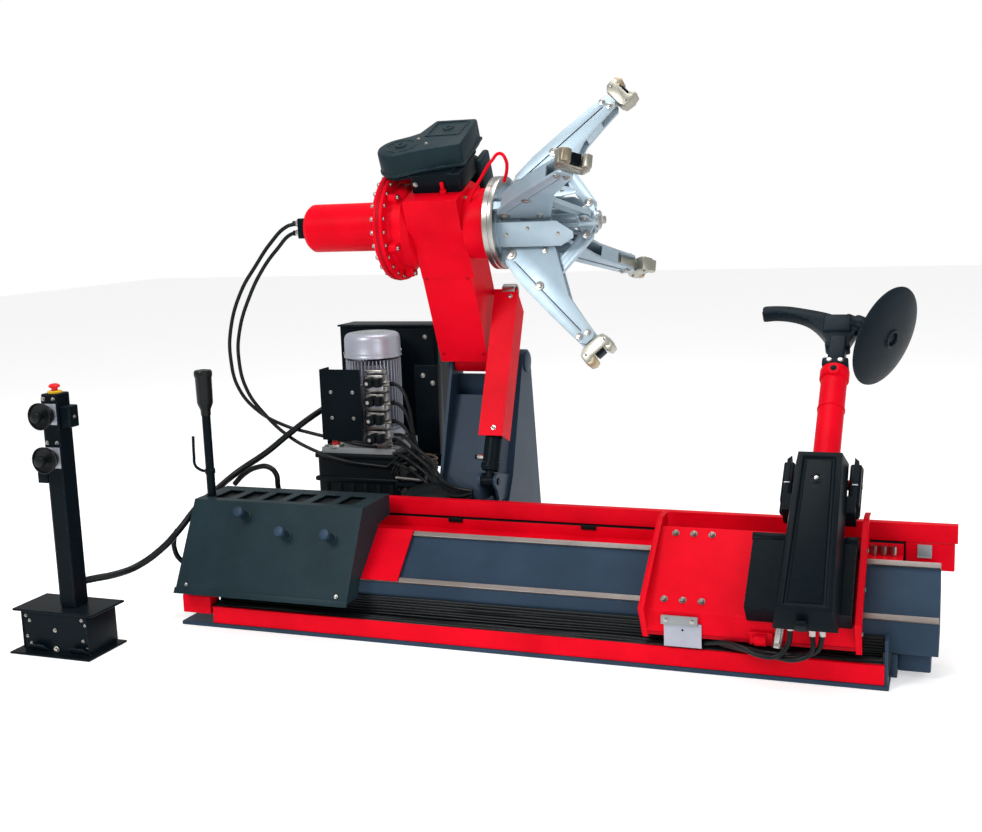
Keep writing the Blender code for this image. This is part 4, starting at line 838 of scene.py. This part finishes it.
def chuck_details():
    flange = Piece("chuck_flange_details")
    profile = [(0.112, -0.1545), (0.1372, -0.1545), (0.1385, -0.1570), (0.1385, -0.1640), (0.1365, -0.1655), (0.1365, -0.1690),
               (0.1385, -0.1705), (0.1385, -0.1855), (0.1370, -0.1872), (0.112, -0.1872), (0.112, -0.1545)]
    flange.put(lathe(profile, 96), STEEL, CHUCK_AXIS)
    profile = [(0.060, -0.1545), (0.062, -0.1500), (0.070, -0.1500), (0.072, -0.1545), (0.060, -0.1545)]
    flange.put(lathe(profile, 64), STEEL, CHUCK_AXIS)
    for point in ring_of(CHUCK - 0.1550 * X, X, 0.083, 12, 0.13):
        flange.rod(point, point + 0.006 * X, 0.0055, STEEL, 24, 0.001)
    for i in range(4):
        place = radial(i)
        for side in (-1, 1):
            rib = slab([(-0.154, 0.060), (-0.126, 0.068), (-0.126, 0.090), (-0.154, 0.104)], side * 0.0128 - 0.0015,
                       side * 0.0128 + 0.0015, (), 0.0008)
            flange.put(rib, ZINC, place)
    guide = [(-0.155, -0.039), (0.035, -0.039), (0.076, -0.014), (0.076, 0.006), (0.030, 0.039), (-0.155, 0.039)]
    lip = [(-0.155, -0.039), (0.020, -0.039), (0.020, -0.035), (-0.155, -0.035)]
    for i in range(4):
        turned = CHUCK_AXIS @ Matrix.Rotation(CHUCK_TURN + (i + 0.5) * math.pi / 2, 4, "Z")
        place = turned @ Matrix(((0, 0, 1, 0), (0, -1, 0, 0), (1, 0, 0, 0), (0, 0, 0, 1)))
        flange.put(slab(guide, 0.0900, 0.0940, (), 0.0012), ZINC, place)
        flange.put(slab(lip, 0.0845, 0.0920, (), 0.0010), ZINC, place)
        flange.put(slab([(u, -v) for u, v in lip[::-1]], 0.0845, 0.0920, (), 0.0010), ZINC, place)
        for u, v in ((-0.128, 0.0), (-0.060, 0.018), (0.030, 0.0)):
            flange.bolt(place @ Vector((u, v, 0.0940)), place.to_3x3() @ Z, 0.0050, STEEL)
    flange.on("chuck", "zinc_plate")
    head = Piece("crosshead_details")
    for i in range(4):
        place = radial(i)
        pinned(head, place, LINK_FOOT, 0.0185, 0.0075, STEEL)
    head.rod(CHUCK + 0.1275 * X, CHUCK + 0.1340 * X, 0.0275, STEEL, 40, 0.002)
    head.put(lathe([(0, 0.1505), (0.0100, 0.1500), (0.0130, 0.1470), (0.0130, 0.1340), (0, 0.1340)], 6), STEEL, CHUCK_AXIS)
    profile = [(0.0216, -0.0300), (0.0290, -0.0280), (0.0290, -0.0100), (0.0216, -0.0080), (0.0216, -0.0300)]
    head.put(lathe(profile, 48), ZINC, CHUCK_AXIS)
    for turn in (0.35, 1.92, 3.49, 5.06):
        offset = Vector((0, 0.037 * math.cos(turn), 0.037 * math.sin(turn)))
        head.rod(CHUCK + offset - 0.145 * X, CHUCK + offset + 0.075 * X, 0.0065, ZINC)
    head.put(lathe([(0.0220, 0.068), (0.0290, 0.068), (0.0300, 0.072), (0.0290, 0.080), (0.0220, 0.080), (0.0220, 0.068)], 64), ZINC,
             CHUCK_AXIS)
    head.on("crosshead", "zinc_plate")


# ---------------------------------------------------------------- lift cylinder
def lift_details():
    foot, top = Vector((-0.216, 0.012, 0.400)), Vector((-0.216, 0.262, 0.960))
    lean = (top - foot).normalized()
    forward = X.cross(lean)
    guard = Piece("lift_guard_screws")
    for s, x in ((0.585, 0.018), (0.160, 0.010)):
        guard.bolt(foot + s * lean + 0.040 * forward + x * X, forward, 0.0052, STEEL, True)
    guard.on("lift_rod", "bright_steel")
    barrel = Piece("lift_barrel_details")
    profile = [(0.0268, 0.040), (0.0300, 0.041), (0.0300, 0.056), (0.0268, 0.058), (0.0268, 0.040)]
    barrel.put(lathe(profile, 48), BLACK, along(lean, foot))
    profile = [(0.0175, 0.404), (0.0275, 0.402), (0.0300, 0.396), (0.0300, 0.372), (0.0268, 0.370), (0.0268, 0.380), (0.0175, 0.404)]
    barrel.put(lathe(profile, 48), STEEL, along(lean, foot))
    port = foot + 0.075 * lean - 0.020 * X
    barrel.rod(port, port - 0.026 * X, 0.0085, STEEL, 6, 0.001)
    barrel.rod(port - 0.024 * X, port - 0.034 * X, 0.0065, BLACK)
    barrel.on("lift_barrel", "black_coat")


# ---------------------------------------------------------------- tool carriage
def carriage_details():
    out = Vector((0, -0.6665, 0.7455))
    bolts = Piece("saddle_bolts")
    for x in (0.410, 0.460, 0.510):
        for depth in (0.176, 0.020):
            bolts.bolt(PROFILE @ Vector((depth, 0.166 + (depth + 0.006) * 0.8939, x)), out, 0.0072, DULL)
    for depth, height in ((-0.020, 0.150), (0.060, 0.240), (0.150, 0.318)):
        bolts.bolt(PROFILE @ Vector((depth, height, 0.9150)), X, 0.0060, DULL)
    bolts.on("carriage", "bright_steel")
    edge = Piece("saddle_edges")
    outline = [(-0.0075, 0.0985), (-0.0035, 0.0985), (-0.0035, 0.108), (-0.0075, 0.108)]
    edge.put(slab(outline, 0.369, 0.903, (), 0.0008), DEEP_RED, PROFILE)
    for x in (0.3560, 0.9160):
        rise = 0.0 if x < 0.5 else 0.026
        rim = [PROFILE @ Vector((d, h, x)) for d, h in
               ((0.004, 0.089), (-0.0435, 0.180), (0.176, 0.3495 + rise), (0.206, 0.3650 + rise), (0.260, 0.3650 + rise))]
        for a, b in zip(rim, rim[1:]):
            edge.rod(a, b, 0.0022, RED, 16)
    edge.on("carriage", "red_paint")
    plate = Piece("hose_bracket")
    plate.put(cuboid((-0.0105, 0.071, 0.415), (-0.0066, 0.136, 0.515), 0.0012), SILVER, PROFILE)
    plate.put(cuboid((-0.0180, 0.132, 0.408), (-0.0066, 0.156, 0.506), 0.003), LID, PROFILE)
    for x in (0.422, 0.492):
        plate.bolt(PROFILE @ Vector((-0.0180, 0.146, x)), -Y, 0.0055, STEEL)
    plate.rod(PROFILE @ Vector((-0.0105, 0.118, 0.465)), PROFILE @ Vector((-0.0120, 0.118, 0.465)), 0.0028, BLACK)
    plate.on("carriage", "motor_silver")
    boss = Piece("feed_boss")
    boss.rod((0.655, -0.404, 0.114), (0.684, -0.404, 0.114), 0.0155, RED, 32, 0.002)
    boss.rod((0.646, -0.404, 0.114), (0.656, -0.404, 0.114), 0.0110, RED, 6, 0.001)
    boss.put(cuboid((0.640, -0.399, 0.098), (0.700, -0.3868, 0.132), 0.002), RED)
    boss.rod((0.712, -0.412, 0.104), (0.722, -0.392, 0.182), 0.0120, STEEL, 32, 0.001)
    boss.rod((0.7115, -0.413, 0.100), (0.7130, -0.410, 0.112), 0.0150, STEEL, 6, 0.001)
    boss.on("carriage", "red_paint")
    loops = Piece("carriage_hoses")
    for path in (
        [(0.520, -0.372, 0.081), (0.580, -0.392, 0.0935), (0.625, -0.420, 0.094), (0.672, -0.438, 0.085), (0.715, -0.440, 0.088),
         (0.742, -0.435, 0.118), (0.748, -0.430, 0.160)],
        [(0.560, -0.368, 0.081), (0.650, -0.410, 0.083), (0.715, -0.425, 0.079), (0.762, -0.440, 0.083), (0.800, -0.440, 0.106),
         (0.802, -0.432, 0.150)],
        [(0.600, -0.368, 0.081), (0.690, -0.400, 0.081), (0.765, -0.415, 0.088), (0.815, -0.432, 0.110), (0.826, -0.428, 0.150)],
    ):
        loops.put(tube(path, 0.0068), RUBBER)
        end = Vector(path[-1])
        loops.rod(end - 0.004 * Z, end + 0.020 * Z, 0.0095, STEEL, 6, 0.001)
    looped = loops.made()
    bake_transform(looped)
    wings = Piece("wing_details")
    place = placed(SLOPE.translation, X, X.cross(UPHILL))
    wings.put(cuboid((0.6290, 0.0535, -0.1690), (0.7300, 0.1230, -0.1480), 0.004, 2), BLACK, place)
    wings.put(cuboid((0.8650, 0.0535, -0.1690), (0.8990, 0.1230, -0.1480), 0.004, 2), BLACK, place)
    wings.on("carriage", "black_coat")


def tower_look():
    cover = Piece("tower_cover_shell")
    work = bmesh.new()
    bmesh.ops.create_cube(work, size=1)
    low, high = Vector((0.722, -0.125, 0.142)), Vector((0.861, 0.385, 0.208))
    bmesh.ops.transform(work, verts=work.verts, matrix=Matrix.Diagonal((*(high - low), 1)))
    bmesh.ops.translate(work, verts=work.verts, vec=(low + high) / 2)
    for vert in work.verts:
        if vert.co.y < 0:
            vert.co.x += 0.010 if vert.co.x > TOOL_X else -0.010
        if vert.co.z > 0.2:
            vert.co.x += 0.013 if vert.co.x < TOOL_X else -0.013
            vert.co.y += 0.020 if vert.co.y < 0 else -0.012
    front = max(work.faces, key=lambda face: face.calc_center_median().z)
    bmesh.ops.inset_region(work, faces=[front], thickness=0.021, depth=0)
    bmesh.ops.inset_region(work, faces=[front], thickness=0.0025, depth=-0.0055)
    bmesh.ops.inset_region(work, faces=[front], thickness=0.0100, depth=0)
    bmesh.ops.inset_region(work, faces=[front], thickness=0.0015, depth=0.0030)
    softened(work, 0.0042, 3, 20)
    cover.put(work, BLACK, SLOPE)
    centre = SLOPE @ Vector((0.788, 0.290, 0.2055))
    out = SLOPE.to_3x3() @ Z
    cover.put(lathe([(0.0100, 0), (0.0110, 0.0030), (0.0160, 0.0030), (0.0170, 0), (0.0100, 0)], 40), BLACK,
              along(out, centre - 0.001 * out))
    cover.rod(centre - 0.002 * out, centre + 0.0025 * out, 0.0068, STEEL, 6, 0.001)
    cover.put(cuboid((0.770, -0.1385, 0.158), (0.800, -0.1235, 0.192), 0.004, 3), BLACK, SLOPE)
    cover.on("tower", "black_coat", "tower_cover")
    fork = Piece("tower_fork_details")
    for x in (0.6945, 0.8895):
        side = -1 if x < TOOL_X else 1
        pin = SLOPE @ Vector((x, 0.345, 0.100))
        fork.rod(pin - 0.003 * side * X, pin + 0.004 * side * X, 0.0200, BLACK, 40, 0.001)
        fork.rod(pin + 0.004 * side * X, pin + 0.008 * side * X, 0.0090, STEEL, 6, 0.001)
    for x0, x1 in ((0.6880, 0.7215), (0.8615, 0.8960)):
        fork.put(cuboid((x0, 0.240, 0.090), (x1, 0.405, 0.112), 0.009, 3), BLACK, SLOPE)
        fork.put(cuboid((x0 + 0.002, 0.262, 0.110), (x1 - 0.002, 0.392, 0.1345), 0.006, 3), BLACK, SLOPE)
    for x0, x1 in ((0.6965, 0.7115), (0.8725, 0.8875)):
        fork.put(cuboid((x0, 0.318, 0.1372), (x1, 0.322, 0.1395), 0.0006), SILVER, SLOPE)
    fork.on("tower", "black_coat")


def tool_looks():
    s, n = 0.345, 0.100
    place = SLOPE @ Matrix.Translation((TOOL_X, s, n))
    arm = Piece("tool_arm_details")
    up = place.to_3x3() @ Y
    centre = place.translation
    for a, b, radius, bevel in ((0.250, 0.2575, 0.0385, 0.001), (0.360, 0.3950, 0.0412, 0.003)):
        arm.rod(centre + a * up, centre + b * up, radius, RED, 48, bevel)
    socket = placed(centre + 0.328 * up, X, X.cross(up))
    out = place.to_3x3() @ Z
    arm.put(lathe([(0, 0.0440), (0.0150, 0.0440), (0.0180, 0.0415), (0.0180, 0.0200), (0, 0.0200)], 40), RED, along(out, centre + 0.372 * up))
    arm.rod(centre + 0.372 * up + 0.0435 * out, centre + 0.372 * up + 0.0475 * out, 0.0095, BLACK, 6, 0.001)
    arm.on("tool_arm", "red_paint")
    head = Piece("tool_head_casting")
    base = SLOPE @ Matrix.Translation((TOOL_X, 0.7406, n))
    hook = smooth([
        (0.034, 0.100), (0.050, 0.140), (0.062, 0.160), (0.060, 0.182), (0.030, 0.188), (0.000, 0.196), (-0.040, 0.212),
        (-0.092, 0.226), (-0.150, 0.238), (-0.200, 0.240), (-0.2245, 0.236), (-0.2270, 0.222), (-0.2240, 0.208),
        (-0.190, 0.211), (-0.150, 0.207), (-0.110, 0.194), (-0.080, 0.174), (-0.052, 0.142), (-0.034, 0.110), (-0.030, 0.080),
        (0.032, 0.080),
    ], 4)
    head.put(slab(hook, -0.0200, 0.0200, (), 0.0085), CAST, base)
    head.put(cuboid((-0.0220, 0.0010, -0.0270), (0.0250, 0.1180, 0.0270), 0.005, 3), CAST, base)
    head.put(cuboid((-0.0360, 0.0004, -0.0330), (0.0370, 0.0280, 0.0330), 0.006, 3), CAST, base)
    head.rod(base @ Vector((-0.0150, 0.0140, 0.0320)), base @ Vector((-0.0150, 0.0140, 0.0380)), 0.0085, STEEL, 6, 0.001)
    head.rod(base @ Vector((0.0160, 0.0140, 0.0320)), base @ Vector((0.0160, 0.0140, 0.0380)), 0.0085, STEEL, 6, 0.001)
    head.put(cuboid((-0.0460, 0.1320, -0.0280), (0.0360, 0.2000, 0.0280), 0.007, 3), CAST, base)
    level = math.cos(math.radians(32))
    axis = Vector((level * math.cos(math.radians(6)), -math.sin(math.radians(32)), level * math.sin(math.radians(6))))
    start = base @ Vector((0.025, 0.192, 0))
    axis = base.to_3x3() @ axis
    head.rod(start - 0.010 * axis, start + 0.1248 * axis, 0.0225, CAST, 40, 0.003)
    head.rod(start + 0.020 * axis, start + 0.060 * axis, 0.0300, CAST, 40, 0.005)
    head.on("tool_head", "black_coat", "tool_head")
    disc = Piece("bead_disc_dish")
    across = axis.cross(UPHILL).normalized()
    centre = start + 0.1256 * axis
    profile = [
        (0, 0.0220), (0.0110, 0.0220), (0.0130, 0.0205), (0.0130, 0.0180), (0.0200, 0.0180), (0.0205, 0.0265), (0.0250, 0.0275),
        (0.0290, 0.0255), (0.0310, 0.0215), (0.0600, 0.0200), (0.0900, 0.0165), (0.1200, 0.0110), (0.1420, 0.0055), (0.1488, 0.0030),
        (0.1500, 0.0005), (0.1488, -0.0018), (0.1420, -0.0010), (0.1200, 0.0035), (0.0900, 0.0085), (0.0600, 0.0115), (0.0280, 0.0130),
        (0.0240, 0.0002), (0, 0.0002),
    ]
    disc.put(lathe(profile, 96), CAST, placed(centre, across, axis.cross(across)))
    disc.on("bead_disc", "black_coat", "bead_disc")


# ---------------------------------------------------------------- hoses and cables
def blended(name, paths, radius):
    """Hoses that hang between the base and the swinging arm, baked into one mesh that stays in place."""
    piece = Piece(name)
    for path in paths:
        piece.put(tube(path, radius), RUBBER)
    made = piece.made()
    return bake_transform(made)


def hoses():
    outer = [
        (-0.868, 0.078, 1.198), (-0.900, 0.074, 1.190), (-0.965, 0.080, 1.140), (-1.030, 0.090, 1.070), (-1.098, 0.095, 0.982),
        (-1.150, 0.100, 0.857), (-1.164, 0.110, 0.756), (-1.150, 0.125, 0.655), (-1.100, 0.160, 0.572), (-1.020, 0.190, 0.520),
        (-0.930, 0.195, 0.497), (-0.830, 0.196, 0.478), (-0.740, 0.196, 0.462), (-0.660, 0.220, 0.450), (-0.625, 0.250, 0.440),
    ]
    inner = [
        (-0.868, 0.088, 1.168), (-0.895, 0.090, 1.165), (-0.950, 0.094, 1.120), (-1.008, 0.098, 1.060), (-1.070, 0.100, 0.965),
        (-1.120, 0.105, 0.850), (-1.136, 0.115, 0.756), (-1.122, 0.130, 0.650), (-1.075, 0.160, 0.560), (-1.000, 0.170, 0.490),
        (-0.900, 0.172, 0.440), (-0.800, 0.176, 0.410), (-0.700, 0.178, 0.398), (-0.590, 0.200, 0.392), (-0.560, 0.260, 0.400),
    ]
    blended("arm_hoses", [outer, inner], 0.0062)
    cable = Piece("stand_cable")
    cable.put(tube([
        (-1.262, -0.625, 0.196), (-1.236, -0.600, 0.198), (-1.190, -0.540, 0.200), (-1.165, -0.470, 0.208), (-1.120, -0.410, 0.248),
        (-1.100, -0.360, 0.284), (-1.098, -0.250, 0.335), (-1.110, -0.100, 0.365), (-1.105, 0.020, 0.395), (-1.040, 0.090, 0.445),
        (-0.985, 0.160, 0.500), (-0.930, 0.230, 0.550), (-0.880, 0.330, 0.590), (-0.868, 0.420, 0.600), (-0.868, 0.498, 0.600),
    ], 0.0105), RUBBER)
    cable.put(tube([
        (-1.100, -0.360, 0.290), (-1.122, -0.345, 0.262), (-1.132, -0.335, 0.225), (-1.124, -0.325, 0.190), (-1.100, -0.320, 0.175),
        (-1.082, -0.300, 0.178),
    ], 0.0080), RUBBER)
    cable.put(tube([
        (-1.120, 0.010, 0.352), (-1.080, 0.010, 0.388), (-1.030, 0.010, 0.412), (-0.985, 0.010, 0.414), (-0.960, 0.010, 0.392),
        (-0.956, 0.010, 0.352), (-0.956, 0.030, 0.300),
    ], 0.0090), RUBBER)
    cable.on("root", "black_plastic")
    lines = Piece("hydraulic_hoses")
    for i in range(4):
        z = 0.4785 + 0.0625 * i
        sag = 0.055 + 0.018 * i
        lines.put(tube([
            (-0.616, 0.2120, z), (-0.590, 0.205, z - 0.010), (-0.560, 0.190, z - 0.5 * sag), (-0.530, 0.180, 0.470 - 0.02 * (3 - i)),
            (-0.490, 0.175, 0.420 - 0.015 * i), (-0.460, 0.170, 0.375 - 0.010 * i), (-0.450, 0.165, 0.345),
        ], 0.0058), RUBBER)
    for i in range(4):
        z = 0.500 - 0.030 * i
        lines.put(tube([
            (-0.612, 0.195 - 0.008 * i, z), (-0.560, 0.150 - 0.010 * i, z + 0.004), (-0.500, 0.120, z - 0.030),
            (-0.450, 0.105, z - 0.062), (-0.400, 0.050, z - 0.095), (-0.330, -0.003, z - 0.120), (-0.262, -0.010, 0.372 - 0.008 * i),
        ], 0.0058), RUBBER)
    for i in range(3):
        lines.put(tube([
            (-0.640 + 0.02 * i, 0.182, 0.392 - 0.02 * i), (-0.600, 0.165, 0.420 - 0.02 * i), (-0.550, 0.160, 0.452 - 0.02 * i),
            (-0.520, 0.190, 0.430 - 0.03 * i), (-0.535, 0.215, 0.380 - 0.02 * i), (-0.570, 0.205, 0.345), (-0.600, 0.176, 0.315 + 0.01 * i),
        ], 0.0062), RUBBER)
    lines.rod((-0.600, 0.170, 0.3380), (-0.440, 0.120, 0.3420), 0.0085, BLACK)
    lines.rod((-0.600, 0.165, 0.3620), (-0.470, 0.125, 0.3650), 0.0060, STEEL)
    lines.put(cuboid((-0.620, 0.188, 0.395), (-0.560, 0.236, 0.425), 0.004), BLACK)
    lines.put(cuboid((-0.560, 0.150, 0.325), (-0.500, 0.190, 0.380), 0.004), BLACK)
    lines.on("root", "black_plastic")
    strip = Piece("earth_strap")
    strip.put(tube([
        (-0.252, 0.000, 1.215), (-0.240, 0.004, 1.255), (-0.205, 0.010, 1.315), (-0.170, 0.016, 1.365), (-0.148, 0.020, 1.383),
        (-0.131, 0.022, 1.366), (-0.128, 0.022, 1.335), (-0.140, 0.026, 1.300),
    ], 0.0050), RED)
    strip.on("chuck_arm", "red_paint")


bed_details()
tray_details()
pedestal_details()
pump_motor_look()
hydraulic_details()
stand_details()
arm_details()
belt_cover_look()
clamp_looks()
chuck_details()
lift_details()
carriage_details()
tower_look()
tool_looks()
hoses()


# ---------------------------------------------------------------- studio
def studio():
    floor = bpy.data.meshes.new("floor")
    work = bmesh.new()
    bmesh.ops.create_grid(work, x_segments=1, y_segments=1, size=14)
    work.to_mesh(floor)
    work.free()
    floor.materials.append(FLOOR)
    made = bpy.data.objects.new("floor", floor)
    made.location = (0, 4, -0.0005)
    bpy.context.scene.collection.objects.link(made)
    world = bpy.data.worlds.new("studio")
    bpy.context.scene.world = world
    world.use_nodes = True
    sky = world.node_tree.nodes["Background"]
    sky.inputs[0].default_value = (1, 1, 1, 1)
    paths = world.node_tree.nodes.new("ShaderNodeLightPath")
    power = world.node_tree.nodes.new("ShaderNodeMapRange")
    power.inputs["To Min"].default_value = 0.52
    power.inputs["To Max"].default_value = 1.0
    world.node_tree.links.new(paths.outputs["Is Camera Ray"], power.inputs["Value"])
    world.node_tree.links.new(power.outputs[0], sky.inputs[1])
    for name, at, size, power in (
        ("key", (-1.8, -3.6, 3.6), 1.8, 110),
        ("fill", (3.2, -3.2, 2.2), 2.6, 45),
        ("top", (0.0, 0.4, 4.2), 2.6, 80),
    ):
        lamp = bpy.data.lights.new(name, "AREA")
        lamp.shape = "DISK"
        lamp.size = size
        lamp.energy = power
        light = bpy.data.objects.new(name, lamp)
        light.location = at
        light.rotation_euler = (Vector((0, 0, 0.6)) - Vector(at)).to_track_quat("-Z", "Y").to_euler()
        bpy.context.scene.collection.objects.link(light)


def camera():
    """The camera stands in front and to the right of the middle, a little above the machine's middle."""
    yaw, pitch, roll = (math.radians(a) for a in (20.72, 9.54, 2.11))
    ahead = Vector((-math.sin(yaw) * math.cos(pitch), math.cos(yaw) * math.cos(pitch), -math.sin(pitch)))
    level = Vector((math.cos(yaw), math.sin(yaw), 0))
    below = ahead.cross(level)
    right = math.cos(roll) * level + math.sin(roll) * below
    down = math.cos(roll) * below - math.sin(roll) * level
    lens = bpy.data.cameras.new("camera")
    lens.lens = 46.37
    lens.sensor_width = 36
    made = bpy.data.objects.new("camera", lens)
    turn = Matrix((right, -down, -ahead)).transposed().to_4x4()
    made.matrix_world = Matrix.Translation((1.1387, -3.532, 1.24)) @ turn
    bpy.context.scene.collection.objects.link(made)
    bpy.context.scene.camera = made


studio()
camera()
bpy.context.scene.view_settings.view_transform = "Standard"
